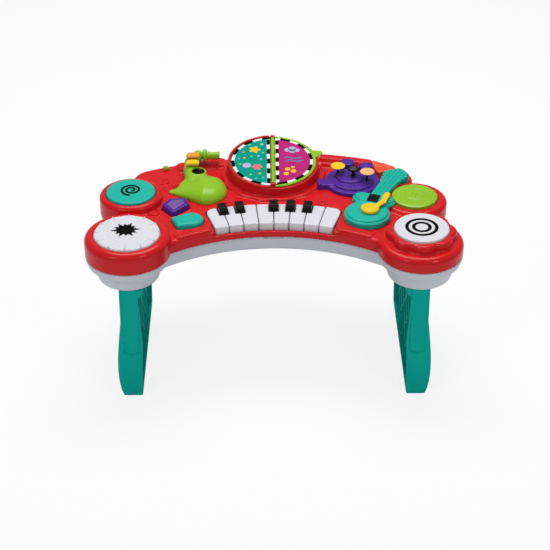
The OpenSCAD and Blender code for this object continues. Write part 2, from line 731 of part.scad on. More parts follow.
module star_drum_pad() { color(white) pad(0, star_pad_r, pad_crown(star_pad_r, 1.2)); }
module spiral_drum_pad() { color(pad_teal) pad(1, spiral_pad_r, pad_crown(spiral_pad_r, 0.8)); }
module ring_drum_pad() { color(white) pad(2, ring_pad_r, pad_crown(ring_pad_r, 0.4)); }
module cymbal_pad() {
    r = cymbal_pad_r;
    top = cymbal_rim_z + cymbal_up;
    color(lime) pad(3, r, [[0, top + 4], [4, top + 4], [5.5, top + 2.6], [13, top + 2], [15, top + 1.2],
        [r - 3, top - 0.3], [r, top - 1.6]], top, cymbal_drop);
}

module pad_stop_washers() {
    color(black) for (p = pad_spots) translate([p[0], p[1], pad_stop_z - washer_t]) difference() {
        cylinder(r = stem_r + 3, h = washer_t);
        translate([0, 0, -1]) cylinder(r = stem_r + 0.4, h = washer_t + 2);
    }
}

// ---- light buttons ----

module button(travel_to) {
    top = deck_z + button_up;
    translate([0, 0, button_flange_top - 2]) linear_extrude(2) children(1);
    translate([0, 0, button_flange_top - 1]) linear_extrude(top - 2 - button_flange_top + 1) children(0);
    translate([0, 0, top - 3]) linear_extrude(3) children(2);
    translate([travel_to[0], travel_to[1], button_board_z + board_t + rest_gap + button_travel])
        cylinder(r = 3, h = button_flange_top - 1 - button_board_z - board_t - rest_gap - button_travel);
}

module purple_button() {
    color(purple) difference() {
        button([-145, -10]) {
            purple_outline(0);
            purple_outline(1.8);
            purple_outline(-1.6);
        }
        translate([0, 0, deck_z + button_up - 1]) linear_extrude(3) purple_outline(-4.6);
    }
}

module purple_button_lens() {
    color(lilac) translate([0, 0, deck_z + button_up - 1]) linear_extrude(1.3) purple_outline(-4.6);
}

module teal_button() {
    color(pad_teal) button([-132, -52]) {
        teal_outline(0);
        teal_outline(1.8);
        teal_outline(-1.8);
    }
}

module button_board() {
    color(board_green) translate([button_board_c[0] - button_board_size[0] / 2,
        button_board_c[1] - button_board_size[1] / 2, button_board_z])
        cube([button_board_size[0], button_board_size[1], board_t]);
}

// ---- horn ----

horn_seats = [deck_z + 20.2, deck_z + 22];

bell_h = 18.3;

module horn_bead(x, y, z, r) {
    translate([x, y, deck_z + z]) sphere(r = r, $fn = 28);
}

module horn_body() {
    color(lime) difference() {
        union() {
            hull() {
                translate([-104, 30, deck_z + 2]) scale([1, 0.98, (horn_h - 2) / 34])
                    sphere(r = 34, $fn = 32);
                horn_bead(-151, 32, 1, 3);
            }
            hull() {
                horn_bead(-121, 50, 5, 12);
                horn_bead(-125.5, 80, 9, 11);
            }
            hull() {
                horn_bead(-125.5, 80, 9, 11);
                horn_bead(-125.5, 103, 12, 10);
            }
            hull() {
                horn_bead(-125.5, 103, 12, 10);
                translate(mouth_at) sphere(r = mouth_r + 2.5, $fn = 28);
            }
            hull() {
                horn_bead(-108, 44, 6, 13);
                translate([bell_c[0], bell_c[1], deck_z]) cylinder(r = 12.6, h = bell_h - 2, $fn = 32);
            }
            translate([bell_c[0], bell_c[1], deck_z]) cylinder(r = 12, h = bell_h);
        }
        translate([-200, -50, deck_z - 40]) cube([200, 200, 40]);
        translate([bell_c[0], bell_c[1], deck_z + bell_h - 2]) cylinder(r = 9.8, h = 10);
        for (k = [0, 1]) translate([horn_key_spots[k][0], horn_key_spots[k][1], deck_z + 5])
            cylinder(r = horn_stem_r + run, h = 40);
        for (k = [0, 1])
            translate([horn_key_spots[k][0] - cap_w, horn_key_spots[k][1] - cap_d / 2 - 1, horn_seats[k]])
                cube([2 * cap_w, cap_d + 2, 30]);
        translate(mouth_at) rotate([0, 90, 0]) cylinder(r = mouth_r + run, h = 40);
    }
}

module horn_bell_liner() {
    color(black) translate([bell_c[0], bell_c[1], deck_z + bell_h - 2]) cylinder(r = 9.8, h = 1.2);
}

module horn_key(k) {
    z = horn_seats[k] + horn_travel + rest_gap;
    translate([horn_key_spots[k][0], horn_key_spots[k][1], z]) {
        translate([0, 0, -11]) cylinder(r = horn_stem_r, h = 12);
        linear_extrude(cap_t) hull() for (sx = [-1, 1], sy = [-1, 1])
            translate([sx * (cap_w / 2 - 4), sy * (cap_d / 2 - 4)]) circle(r = 4, $fn = 32);
    }
}

module horn_yellow_key() { color(yellow) horn_key(0); }
module horn_orange_key() { color(orange) horn_key(1); }

module horn_mouthpiece() {
    len = mouth_end_x - mouth_at[0];
    color(lime) translate(mouth_at) rotate([0, 90, 0]) rotate_extrude() polygon([[0, 0.5], [mouth_r, 0.5],
        [mouth_r, 8], [mouth_r + 4, 9], [mouth_r + 4, 12.5], [mouth_r, 13.5], [mouth_r - 0.5, len - 9],
        [mouth_r + 0.4, len - 1], [mouth_r - 0.6, len], [0, len]]);
}

module volume_slider() {
    color(lime) translate([slider_at[0], slider_at[1], 0]) rotate([0, 0, slider_dir]) {
        translate([-4, -3.5, deck_z + rest_gap]) cube([8, 7, 5.5]);
        translate([-2, -2, deck_z - wall - 1]) cube([4, 4, wall + 2]);
        translate([-4, -3.5, deck_z - wall - rest_gap - 1.5]) cube([8, 7, 1.5]);
    }
}

// ---- drum kit ----

module drum_kit_base() {
    tom_h = kit_h + 5;
    color(purple) difference() {
        union() {
            puck(kit_c, deck_z, deck_z + 6, kit_r, 2.5);
            puck(kit_c + [0, -3], deck_z + 1, deck_z + kit_h - 3.5, kit_r - 10, 2);
            puck(kit_c + [-3, 2], deck_z + 2, deck_z + kit_h, kit_r - 20, 3);
            puck([115, 95], deck_z, deck_z + tom_h, 11, 2);
            puck([143, 83], deck_z, deck_z + tom_h, 11, 2);
            translate([67, 40, deck_z]) cube([20, 20, 8]);
        }
        for (k = [0:2]) translate([kit_spots[k][0], kit_spots[k][1], deck_z + 3])
            cylinder(r = k == 1 ? horn_stem_r + run : rod_r, h = 30);
        // room for the guitar's neck beside it
        translate([-1.5, 0, deck_z - 1]) linear_extrude(kit_h + 8) polygon(neck_pts);
    }
}

module kit_stands() {
    color(black) for (k = [0, 2]) translate([kit_spots[k][0], kit_spots[k][1], 0]) {
        translate([0, 0, deck_z + 3]) cylinder(r = rod_r, h = disc_z + disc_t - 1.5 - deck_z - 3);
        translate([0, 0, disc_z - rest_gap - 2]) cylinder(r = 3, h = 2);
    }
}

module kit_cymbal(k) {
    translate([kit_spots[k][0], kit_spots[k][1], disc_z]) rotate_extrude()
        polygon([[0, disc_t - 1], [rod_r + run, disc_t - 1], [rod_r + run, 0], [cymbal_r - 1, 0],
            [cymbal_r, 1], [cymbal_r, disc_t - 1.2], [cymbal_r - 1.2, disc_t], [0, disc_t]]);
}

module kit_yellow_cymbal() { color(yellow) kit_cymbal(0); }
module kit_peach_cymbal() { color(peach) kit_cymbal(2); }

module kit_snare() {
    color(black) translate([kit_spots[1][0], kit_spots[1][1], 0]) {
        translate([0, 0, deck_z + 6]) cylinder(r = horn_stem_r, h = disc_z - deck_z - 5);
        translate([0, 0, disc_z]) rotate_extrude() polygon([[0, 0], [snare_r - 1, 0], [snare_r, 1],
            [snare_r, disc_t], [snare_r - 1.8, disc_t], [snare_r - 1.8, disc_t - 0.8], [0, disc_t - 0.8]]);
    }
}

// ---- guitar ----

module guitar_outline(grow) {
    translate([137, -42]) circle(r = bout_r + grow, $fn = 96);
    hull() {
        translate([131, 4]) circle(r = 13 + grow, $fn = 32);
        translate([166, -8]) circle(r = 16 + grow, $fn = 32);
        translate([148, -18]) circle(r = 18 + grow, $fn = 32);
    }
}

neck_pts = [[145, 6], [160, 38], [166, 58], [171, 75], [182, 80], [194, 83], [206, 70], [203, 57],
    [188, 41], [175, 18], [166, 0]];

module guitar_body() {
    color(pad_teal) difference() {
        union() {
            translate([0, 0, deck_z]) linear_extrude(guitar_h - 3) guitar_outline(0);
            translate([0, 0, deck_z + 1]) linear_extrude(guitar_h - 1) guitar_outline(-3);
            translate([0, 0, deck_z]) linear_extrude(guitar_h + 1) polygon(neck_pts);
        }
        translate([dial_c[0], dial_c[1], deck_z - 1]) cylinder(r = strum_stem_r + run, h = 40);
        // room for the drum lobe below it and for the drum's pad beside it
        translate([rear_right_x, rear_right_y, deck_z - 1])
            cylinder(r = rear_right_lobe_r + rest_gap, h = cymbal_rim_z + rest_gap - deck_z + 1);
        translate([rear_right_x, rear_right_y, deck_z]) cylinder(r = cymbal_pad_r + 2, h = 40);
    }
}

module guitar_string_block() {
    color(black) translate([148.7, -6, deck_z + guitar_h]) rotate([0, 0, -18])
        translate([-8, -11, 0]) cube([16, 20, string_h - 1]);
}

module guitar_strummer() {
    arm_z = strum_z + string_h - 0.5;
    color(yellow) {
        translate([dial_c[0], dial_c[1], strum_z]) cylinder(r = dial_r, h = 5.5);
        translate([dial_c[0], dial_c[1], deck_z - 8]) cylinder(r = strum_stem_r, h = strum_z - deck_z + 9);
        translate([0, 0, arm_z]) linear_extrude(3) {
            hull() {
                translate([150, -37]) circle(r = 3.8, $fn = 32);
                translate([161, -25]) circle(r = 3.8, $fn = 32);
            }
            hull() {
                translate([161, -25]) circle(r = 3.8, $fn = 32);
                translate([169, -3]) circle(r = 4.3, $fn = 32);
            }
        }
    }
}

// ---- book ----

module book_left_page() {
    color(pad_teal) in_book() half_disc(page_r, -page_t, 0, -1, 5);
}

module page_outline(r, z0, z1) {
    difference() {
        half_disc(r, z0, z1, 1, 0);
        for (side = [-1, 1]) translate([-10, side > 0 ? boss_y - 6 - gap : -boss_y - 9, z0 - 1])
            cube([16.5, 15 + gap, z1 - z0 + 2]);
    }
}

module flip_page() {
    barrel_len = 2 * (boss_y - 6 - gap);
    color(lime) in_book() difference() {
        union() {
            page_outline(flip_r, rest_gap - page_t, -0.4);
            translate([0, 0, rest_gap - page_t]) linear_extrude(page_t - rest_gap - 0.4) rotate(17) hull() {
                translate([flip_r - 6, -13]) square([4, 26]);
                translate([flip_r + 9, 0]) circle(r = 6, $fn = 32);
            }
            translate([0, barrel_len / 2, pin_up]) rotate([90, 0, 0]) cylinder(r = barrel_r, h = barrel_len);
        }
        translate([0, boss_y, pin_up]) rotate([90, 0, 0]) cylinder(r = pin_r + run, h = 2 * boss_y);
    }
}

module flip_page_print() {
    color(magenta) in_book() difference() {
        half_disc(page_r, -0.4, 0, 1, barrel_r + 0.8);
        for (side = [-1, 1]) translate([-10, side > 0 ? boss_y - 6 - gap : -boss_y - 9, -1])
            cube([16.5, 15 + gap, 2]);
    }
}

module book_hinge_pin() {
    color(steel) in_book() translate([0, boss_y - 1, pin_up]) rotate([90, 0, 0])
        cylinder(r = pin_r, h = 2 * boss_y - 2);
}

module lens_outline(grow) {
    hull() for (p = lens_pts) translate(p) circle(r = 3 + grow, $fn = 32);
}

module light_lens() {
    color([0.9, 0.35, 0.1]) {
        translate([0, 0, deck_z - wall]) linear_extrude(wall + lens_up - 3) lens_outline(0);
        translate([0, 0, deck_z]) linear_extrude(lens_up) lens_outline(-2);
    }
}

// ---- electrics and fasteners ----

module main_circuit_board() {
    z = floor_z + board_up;
    color(board_green) {
        translate([board_c[0] - board_size[0] / 2, board_c[1] - board_size[1] / 2, z])
            cube([board_size[0], board_size[1], board_t]);
        translate([board_c[0] - 10, board_c[1] - 8, z + board_t / 2]) cube([16, 16, 3]);
        for (k = [0:2]) translate([board_c[0] + 20, board_c[1] - 14 + 13 * k, z + board_t / 2])
            cylinder(r = 4, h = 9);
    }
}

module speaker() {
    color(black) translate([speaker_c[0], speaker_c[1], floor_z]) rotate_extrude()
        polygon([[0, 1.5], [8, 1.5], [speaker_r - 4, 0], [speaker_r, 0], [speaker_r, 3], [speaker_r - 8, 9],
            [12, 9], [12, 15], [0, 15]]);
}

cell_ys = [for (k = [-1:1]) battery_y + k * (2 * cell_r + 1)];

module battery_cells() {
    color([0.2, 0.22, 0.26]) for (y = cell_ys) translate([-cell_len / 2, y, cell_z]) rotate([0, 90, 0])
        cylinder(r = cell_r, h = cell_len);
}

module battery_contacts() {
    color(steel) for (y = cell_ys, side = [-1, 1]) {
        translate([side * (battery_w / 2 - 0.5) - 0.5, y - 5.5, cell_z - 5.5]) cube([1, 11, 11]);
        translate([side * (battery_w / 2 - 1), y, cell_z]) rotate([0, side * -90, 0])
            cylinder(r1 = 4.5, r2 = 2.5, h = battery_w / 2 - 1 - cell_len / 2 - rest_gap);
    }
}

module battery_door() {
    color(pale) difference() {
        translate([-door_w / 2, battery_y - door_d / 2, base_z]) cube([door_w, door_d, door_t]);
        translate([door_screw_x, battery_y, base_z - 1]) cylinder(r = screw_r + 0.3, h = 5);
    }
}

module screw(p, z, len) {
    translate([p[0], p[1], z - 2.2]) cylinder(r = screw_head_r, h = 2.2);
    translate([p[0], p[1], z - 0.2]) cylinder(r = screw_r, h = len);
}

module shell_screws() {
    color(steel) {
        for (p = screw_spots) screw(p, base_z + screw_seat, seam_z + 10 - base_z - screw_seat);
        for (p = frame_spots) screw(p, frame_z, 11);
        translate([door_screw_x, battery_y, base_z - 1.6]) cylinder(r = screw_head_r, h = 1.6);
        translate([door_screw_x, battery_y, base_z - 0.2]) cylinder(r = screw_r, h = 9);
    }
}

top_shell();
bottom_shell();
left_leg();
right_leg();
white_key_1();
white_key_2();
white_key_3();
white_key_4();
white_key_5();
white_key_6();
white_key_7();
white_key_8();
black_key_1();
black_key_2();
black_key_3();
black_key_4();
black_key_5();
key_frame();
key_contact_mat();
key_board();
star_drum_pad();
spiral_drum_pad();
ring_drum_pad();
cymbal_pad();
pad_stop_washers();
purple_button();
purple_button_lens();
teal_button();
button_board();
horn_body();
horn_bell_liner();
horn_yellow_key();
horn_orange_key();
horn_mouthpiece();
volume_slider();
drum_kit_base();
kit_stands();
kit_yellow_cymbal();
kit_snare();
kit_peach_cymbal();
guitar_body();
guitar_string_block();
guitar_strummer();
book_left_page();
flip_page();
flip_page_print();
book_hinge_pin();
light_lens();
main_circuit_board();
speaker();
battery_cells();
battery_contacts();
battery_door();
shell_screws();
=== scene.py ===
# %% [markdown]
# # A musical activity table
# The toy is a red, crescent-shaped deck on two teal legs. It carries a curved keyboard, four press drums,
# two light buttons, a horn, a drum kit, a guitar and a flip book.
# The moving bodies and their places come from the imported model. This lesson dresses them: it models each
# moulding again with its rounded edges and small reliefs, and gives every surface its finish.

import json
from math import asin, cos, pi, radians, sin

import bmesh
import bpy
import numpy as np
from mathutils import Matrix, Vector


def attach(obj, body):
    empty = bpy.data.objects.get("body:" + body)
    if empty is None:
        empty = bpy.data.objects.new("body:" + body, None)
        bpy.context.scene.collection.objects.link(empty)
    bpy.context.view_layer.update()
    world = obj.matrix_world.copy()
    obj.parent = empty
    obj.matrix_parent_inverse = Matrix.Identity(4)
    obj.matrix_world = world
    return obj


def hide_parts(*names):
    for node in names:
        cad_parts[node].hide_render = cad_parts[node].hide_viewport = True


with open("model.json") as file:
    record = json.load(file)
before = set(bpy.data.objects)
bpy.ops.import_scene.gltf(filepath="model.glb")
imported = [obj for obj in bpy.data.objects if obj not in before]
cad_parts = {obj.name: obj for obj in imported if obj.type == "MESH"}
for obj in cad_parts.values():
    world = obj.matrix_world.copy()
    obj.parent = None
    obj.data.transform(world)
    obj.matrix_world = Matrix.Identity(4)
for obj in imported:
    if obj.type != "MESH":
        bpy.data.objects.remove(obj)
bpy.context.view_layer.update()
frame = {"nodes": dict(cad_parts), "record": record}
scene = bpy.context.scene

# %% [markdown]
# ## The camera
# It looks down at the table from the front, much as a standing grown-up does. It aims at a point above the
# floor and uses a long lens, so the legs stay nearly parallel.

# %% Camera
def stand(name, data, at, aim):
    """Puts a camera or a lamp at a place and aims it at another one."""
    item = bpy.data.objects.new(name, data)
    item.location = at
    item.rotation_euler = (Vector(aim) - Vector(at)).to_track_quat("-Z", "Y").to_euler()
    scene.collection.objects.link(item)
    return item


AIM = Vector((0.0, 0.0, 0.140))
ELEVATION, AZIMUTH, DISTANCE = radians(33.0), radians(-0.63), 2.3
eye = AIM + DISTANCE * Vector((sin(AZIMUTH) * cos(ELEVATION), -cos(AZIMUTH) * cos(ELEVATION),
                               sin(ELEVATION)))
lens = bpy.data.cameras.new("studio_camera")
lens.lens, lens.sensor_width, lens.shift_x, lens.shift_y = 98.5, 36.0, 0.0027, -0.03
scene.camera = stand("studio_camera", lens, eye, AIM)
print("camera at", [round(v, 3) for v in eye])

# %% [markdown]
# ## Writing node maths as plain sums
# A node tree is easier to read when its sums look like sums. This small class wraps one socket. Adding,
# taking away and multiplying place the Math nodes, and every other node comes from the one method `node`.
# It serves the materials and the Geometry Nodes trees alike.

# %% The Wire class
class Wire:
    """One socket of a node tree."""

    def __init__(self, tree, socket=None):
        self.tree, self.socket = tree, socket

    def node(self, kind, *values, settings=None, sockets=None, out=0, **named):
        """Adds a node. Values fill its sockets in order; in a socket's name, _ stands for a space."""
        made = self.tree.nodes.new(kind)
        for key, value in (settings or {}).items():
            setattr(made, key, value)
        fill = {**dict(enumerate(values)), **(sockets or {})}
        fill.update({name.replace("_", " "): value for name, value in named.items()})
        for key, value in fill.items():
            if isinstance(value, Wire):
                self.tree.links.new(value.socket, made.inputs[key])
            else:
                made.inputs[key].default_value = value
        return Wire(self.tree, made.outputs[out]) if len(made.outputs) else Wire(self.tree)

    def out(self, name):
        return Wire(self.tree, self.socket.node.outputs[name])

    def xyz(self, x, y, z):
        return self.node("ShaderNodeCombineXYZ", x, y, z)

    def maths(self, operation, a, b=0.0):
        return self.node("ShaderNodeMath", a, b, settings={"operation": operation})

    def __add__(self, other):
        return self.maths("ADD", self, other)

    def __sub__(self, other):
        return self.maths("SUBTRACT", self, other)

    def __rsub__(self, other):
        return self.maths("SUBTRACT", other, self)

    def __mul__(self, other):
        return self.maths("MULTIPLY", self, other)

    def __truediv__(self, other):
        return self.maths("DIVIDE", self, other)


def fresh(block):
    """Empties a data block's node tree and starts it anew."""
    block.use_nodes = True
    block.node_tree.nodes.clear()
    return Wire(block.node_tree)


# %% [markdown]
# ## Moulded plastic
# Toy mouldings are polished ABS: one even colour, a hard gloss, a very fine ripple from the mould, and
# faint scuffs where the gloss is broken. The recipe mixes a slow cloud into the colour, a finer one into
# the roughness, and drives a shallow bump from a tiny noise. Only the numbers change from part to part.

# %% Plastic
def paint(red, green, blue):
    """A colour given in the usual 0 to 255 steps, as the shader wants it."""
    return tuple((v / 255 / 12.92 if v <= 10 else ((v / 255 + 0.055) / 1.055) ** 2.4)
                 for v in (red, green, blue)) + (1.0,)


SCUFF = 0.10


def plastic(name, colour, rough=0.26, coat=0.08, ripple=0.05, grain=900.0, painted_glow=0.0, shine=0.18, metal=0.0):
    material = bpy.data.materials.new(name)
    material.diffuse_color = base = paint(*colour)
    wire = fresh(material)
    place = wire.node("ShaderNodeTexCoord", out="Object")
    cloud, scuffs, fine = (
        wire.node("ShaderNodeTexNoise", Vector=place, Scale=scale, Detail=detail, Roughness=broken)
        for scale, detail, broken in ((7.0, 2.0, 0.5), (55.0, 5.0, 0.65), (grain, 2.0, 0.5)))
    deep = tuple(0.93 * v for v in base[:3]) + (1.0,)
    tint = wire.node("ShaderNodeMix", settings={"data_type": "RGBA"}, sockets={0: cloud, 6: deep, 7: base},
                     out=2)
    bump = wire.node("ShaderNodeBump", Strength=ripple, Distance=0.0003, Height=fine + cloud * 2.0)
    # a painted glow: where it is set, the colour is also given off as light, though no lamp is there
    lit = {"Emission Color": tint, "Emission Strength": painted_glow} if painted_glow else {}
    shader = wire.node("ShaderNodeBsdfPrincipled", sockets=lit, Base_Color=tint, Normal=bump, Metallic=metal,
                       Roughness=(scuffs - 0.42) * SCUFF + rough, Coat_Weight=coat, Coat_Roughness=0.06,
                       Specular_IOR_Level=shine)
    wire.node("ShaderNodeOutputMaterial", shader)
    return material


# %% The finishes
LOOKS = {
    "red_shell": plastic("red_gloss", (219, 26, 33), rough=0.24),
    "pale_base": plastic("pale_grey_satin", (212, 216, 226), rough=0.42, coat=0.05, ripple=0.08),
    "leg_teal": plastic("leg_teal_satin", (0, 178, 165), rough=0.42, coat=0.03, shine=0.06),
    "pad_teal": plastic("light_teal_gloss", (28, 186, 167)),
    "white_plastic": plastic("white_gloss", (226, 226, 233), rough=0.24),
    "black_plastic": plastic("black_gloss", (8, 8, 9), rough=0.24),
    "lime_plastic": plastic("lime_gloss", (146, 200, 41)),
    "purple_plastic": plastic("purple_gloss", (84, 42, 152)),
    # the lilac window carries a faint painted glow
    "lilac_plastic": plastic("lilac_lens", (118, 84, 156), rough=0.3, coat=0.2, painted_glow=0.04),
    "yellow_plastic": plastic("yellow_gloss", (252, 208, 32)),
    "orange_plastic": plastic("orange_gloss", (247, 158, 62)),
    "peach_plastic": plastic("peach_gloss", (250, 192, 128)),
    # the orange window carries a painted glow
    "lens_orange": plastic("orange_lens", (232, 74, 30), rough=0.2, coat=0.3, painted_glow=0.10),
    "book_print": plastic("magenta_print", (190, 18, 120), rough=0.33, coat=0.1, ripple=0.03),
    "steel": plastic("plated_steel", (188, 190, 194), rough=0.28, coat=0.0, shine=0.5, metal=1.0),
    "board": plastic("board_green", (38, 110, 58), rough=0.5, coat=0.0, grain=400.0, ripple=0.2),
    "rubber": plastic("contact_rubber", (30, 30, 32), rough=0.7, coat=0.0, ripple=0.2),
    "cell": plastic("cell_wrap", (54, 58, 68), rough=0.35, coat=0.1),
    "speaker_black": plastic("speaker_paper", (34, 34, 36), rough=0.8, coat=0.0, grain=500.0, ripple=0.4),
}
PRINTS = {name: plastic(f"print_{name}", colour, rough=0.5, coat=0.0, shine=0.04) for name, colour in {
    "teal": (0, 156, 134), "white": (240, 240, 240), "black": (6, 6, 7), "yellow": (252, 196, 40),
    "slate": (92, 128, 168), "lilac": (190, 180, 224), "pink": (236, 120, 128), "green": (150, 210, 90),
    "sky": (120, 214, 224)}.items()}
for row in frame["record"]["subparts"]:
    cad_object = frame["nodes"][row["node"]]
    cad_object.data.materials.clear()
    cad_object.data.materials.append(LOOKS[row["material_slot"]])
print(len(LOOKS) + len(PRINTS), "finishes")

# %% [markdown]
# ## Handing a piece over
# Every finished piece rides on a body, takes its finish from its slot of the record unless it brings one, and
# may stand for CAD nodes, which are then hidden. One function does all three, so nothing is forgotten.

# %% Settle
def settle(piece, body, slot, *nodes, look=None):
    if look or not piece.data.materials:
        piece.data.materials.clear()
        piece.data.materials.append(look or LOOKS[slot])
    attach(piece, body)
    if nodes:
        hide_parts(*nodes)
    print(f"{piece.name}: {len(piece.data.polygons)} faces on {body}")


def mesh_piece(name, points_mm, faces, sharp=40.0, normals=None, move=None):
    mesh = bpy.data.meshes.new(name)
    mesh.from_pydata((np.asarray(points_mm, float) * 0.001).tolist(), [], faces)
    mesh.update()
    mesh.shade_smooth()
    if sharp:
        mesh.set_sharp_from_angle(angle=radians(sharp))
    if normals is not None:
        mesh.normals_split_custom_set_from_vertices(normals.tolist())
    if move is not None:
        mesh.transform(move)
    piece = bpy.data.objects.new(name, mesh)
    scene.collection.objects.link(piece)
    return piece


# %% [markdown]
# ## Mouldings as distances
# A moulded shell has soft edges everywhere and fillets where forms meet. Cutting that from boxes would
# take many bevels. Here a form is a function that gives the distance to its surface instead: joining two
# forms with a smooth minimum makes the fillet by itself. All of it is in millimetres.

# %% Forms
def melt(a, b, r=3.0):
    """Joins two forms, with a fillet of about r."""
    h = np.clip(0.5 + 0.5 * (b - a) / r, 0, 1)
    return b * (1 - h) + a * h - r * h * (1 - h)


def carve(a, b, r=0.8):
    """Takes form b out of form a and eases the edge by about r."""
    return -melt(-a, b, r)


def keep(a, b, r=0.8):
    """What lies in both forms, with eased edges."""
    return -melt(-a, -b, r)


# what lies in both forms, or in either of them, with a hard edge
both, either = np.maximum, np.minimum


def corner(u, v, r):
    """The form where u and v are both below 0, its corner rounded by r."""
    u, v = u + r, v + r
    return np.hypot(both(u, 0), both(v, 0)) + either(both(u, v), 0) - r


def disc(x, y, at, r):
    return np.hypot(x - at[0], y - at[1]) - r


def raised(plan, z, top, edge):
    """A plan outline made solid below a height, its upper edge rounded."""
    return corner(plan, z - top, edge)


def pile(form, z, *layers):
    """Melts on raised outlines in turn: each is a plan, its top, its edge's rounding and a fillet."""
    for plan, top, edge, fillet in layers:
        form = melt(form, raised(plan, z, top, edge), fillet)
    return form


def slab(plan, z, low, top, edge):
    """A plan outline made solid between two heights, both edges rounded."""
    return corner(plan, abs(z - (low + top) / 2) - (top - low) / 2, edge)


def spun(u, v, at, angle):
    """Where a point lies as seen from another one, in axes turned by an angle."""
    u, v = u - at[0], v - at[1]
    return u * cos(angle) + v * sin(angle), v * cos(angle) - u * sin(angle)


def limb(point, a, b):
    """A round limb from a to b, each a place and a radius, in the plan or in space."""
    n = len(point)
    along = np.subtract(b[:n], a[:n])
    t = np.clip(sum((point[k] - a[k]) * along[k] for k in range(n)) / (along @ along), 0, 1)
    away = sum((point[k] - a[k] - along[k] * t) ** 2 for k in range(n))
    return np.sqrt(away) - (a[n] + (b[n] - a[n]) * t)


def web(x, y, a, b, c):
    """Limbs between each two of three rounds in the plan."""
    return either.reduce([limb((x, y), p, q) for p, q in ((a, b), (a, c), (b, c))])


def outline(x, y, points):
    """The distance to a polygon's edge, below 0 inside it."""
    nearest, inside = None, None
    for (x0, y0), (x1, y1) in zip(points, list(points[1:]) + [points[0]]):
        ex, ey = x1 - x0, y1 - y0
        t = np.clip(((x - x0) * ex + (y - y0) * ey) / (ex * ex + ey * ey), 0, 1)
        away = (x - x0 - ex * t) ** 2 + (y - y0 - ey * t) ** 2
        crosses = ((y0 > y) != (y1 > y)) & (x < ex * (y - y0) / (ey or 1e-9) + x0)
        nearest = away if nearest is None else either(nearest, away)
        inside = crosses if inside is None else inside ^ crosses
    return np.where(inside, -1.0, 1.0) * np.sqrt(nearest)


# %% [markdown]
# ## From a form to a mesh
# The form is sampled on a grid. Every cell that the surface passes through gets one point, the mean of
# its edge crossings, and every grid edge that crosses the surface gets one quad. The points then slide
# down the form's slope onto the true surface, which brings back the crisp roundings. The slope also gives
# each point its normal, so that highlights run smoothly over the rolled edges.

# %% Mould
SLIDES = 3


def mould_mesh(form, low, high, cell):
    """The surface of a form between two corners: its points, faces and normals."""
    axes = [np.arange(a, b + cell, cell) for a, b in zip(low, high)]
    shape = tuple(len(a) for a in axes)
    sample = form(axes[0][:, None, None], axes[1][None, :, None], axes[2][None, None, :])
    value = np.broadcast_to(sample, shape)
    solid = value < 0
    count = sum(solid[i:shape[0] - 1 + i, j:shape[1] - 1 + j, k:shape[2] - 1 + k].astype(np.int8)
                for i, j, k in np.ndindex(2, 2, 2))
    cells = np.argwhere((count > 0) & (count < 8))
    total, hits = np.zeros((len(cells), 3)), np.zeros(len(cells))
    for axis, *side in np.ndindex(3, 2, 2):
        start, end = np.insert(side, axis, 0), np.insert(side, axis, 1)
        va, vb = value[tuple((cells + start).T)], value[tuple((cells + end).T)]
        crossed = (va < 0) != (vb < 0)
        t = np.where(crossed, va / np.where(crossed, va - vb, 1.0), 0.0)
        total += (cells + start + (end - start) * t[:, None]) * crossed[:, None]
        hits += crossed
    points = total / hits[:, None] * cell + np.array([a[0] for a in axes])

    def slope(step):
        return np.stack([(form(*(points + d).T) - form(*(points - d).T)) / (2 * step)
                         for d in np.eye(3) * step], 1)

    centre = points.copy()
    for _ in range(SLIDES):
        rise = slope(0.15 * cell)
        move = form(*points.T)[:, None] * rise / np.maximum((rise ** 2).sum(1), 0.2)[:, None]
        points = centre + np.clip(points - move - centre, -0.6 * cell, 0.6 * cell)
    rise = slope(0.3 * cell)
    normals = rise / np.maximum(np.linalg.norm(rise, axis=1), 1e-6)[:, None]
    index = np.full(count.shape, -1, np.int64)
    index[tuple(cells.T)] = np.arange(len(cells))
    faces = []
    for axis in range(3):
        a = solid.take(range(shape[axis] - 1), axis)
        b = solid.take(range(1, shape[axis]), axis)
        edge = np.argwhere(a != b)
        u, v = (axis + 1) % 3, (axis + 2) % 3
        for w in (u, v):
            edge = edge[(edge[:, w] > 0) & (edge[:, w] < shape[w] - 1)]
        quad = []
        for du, dv in ((1, 1), (0, 1), (0, 0), (1, 0)):
            c = edge.copy()
            c[:, u] -= du
            c[:, v] -= dv
            quad.append(index[tuple(c.T)])
        quad = np.stack(quad, 1)
        faces.append(np.where(a[tuple(edge.T)][:, None], quad, quad[:, ::-1]))
    return points, np.concatenate(faces), normals


def cast(name, form, low, high, cell, body, slot, *nodes, look=None):
    """Moulds a form between two corners and hands the piece over."""
    points, faces, normals = mould_mesh(form, low, high, cell)
    settle(mesh_piece(name, points, faces.tolist(), None, normals), body, slot, *nodes, look=look)


# %% [markdown]
# ## Sizes that everything shares
# The deck is drawn about one centre in front of the child, like a race track. Heights are those of the
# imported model, so each visible piece sits exactly on what carries it.

# %% Shared sizes
ARC_Y = -335.0
SEAM, LEDGE, DECK, RIM = 219.0, 228.0, 238.0, 251.0
KEY_TOP, PAD_TOP, BASE_Z, BOWL_Z = 239.4, 254.5, 195.0, 180.0
FRONT_R, REAR_R, WAIST_R = 271.0, 480.0, 383.0
CYMBAL_RIM, CYMBAL_TOP, RING_RIM, RING_TOP = 243.0, 248.0, 253.5, 257.0
STAR, SPIRAL, RING, CYMBAL = (-210.9, -103.4), (-213.0, 12.0), (211.4, -99.4), (211.0, 6.0)
LOBE_RIGHT, LEG_X = (210.9, -103.4), 209.9
# each drum's place, the radius of its pad and the height of the rim round it
DRUMS = ((STAR, 47.5, RIM), (SPIRAL, 36.8, RIM), (RING, 39.5, RING_RIM), (CYMBAL, 33.7, CYMBAL_RIM))
# where the legs' tongues go in, from the front, and the height of the seat there
TONGUES = ((-127.4, BOWL_Z), (31.0, BASE_Z))
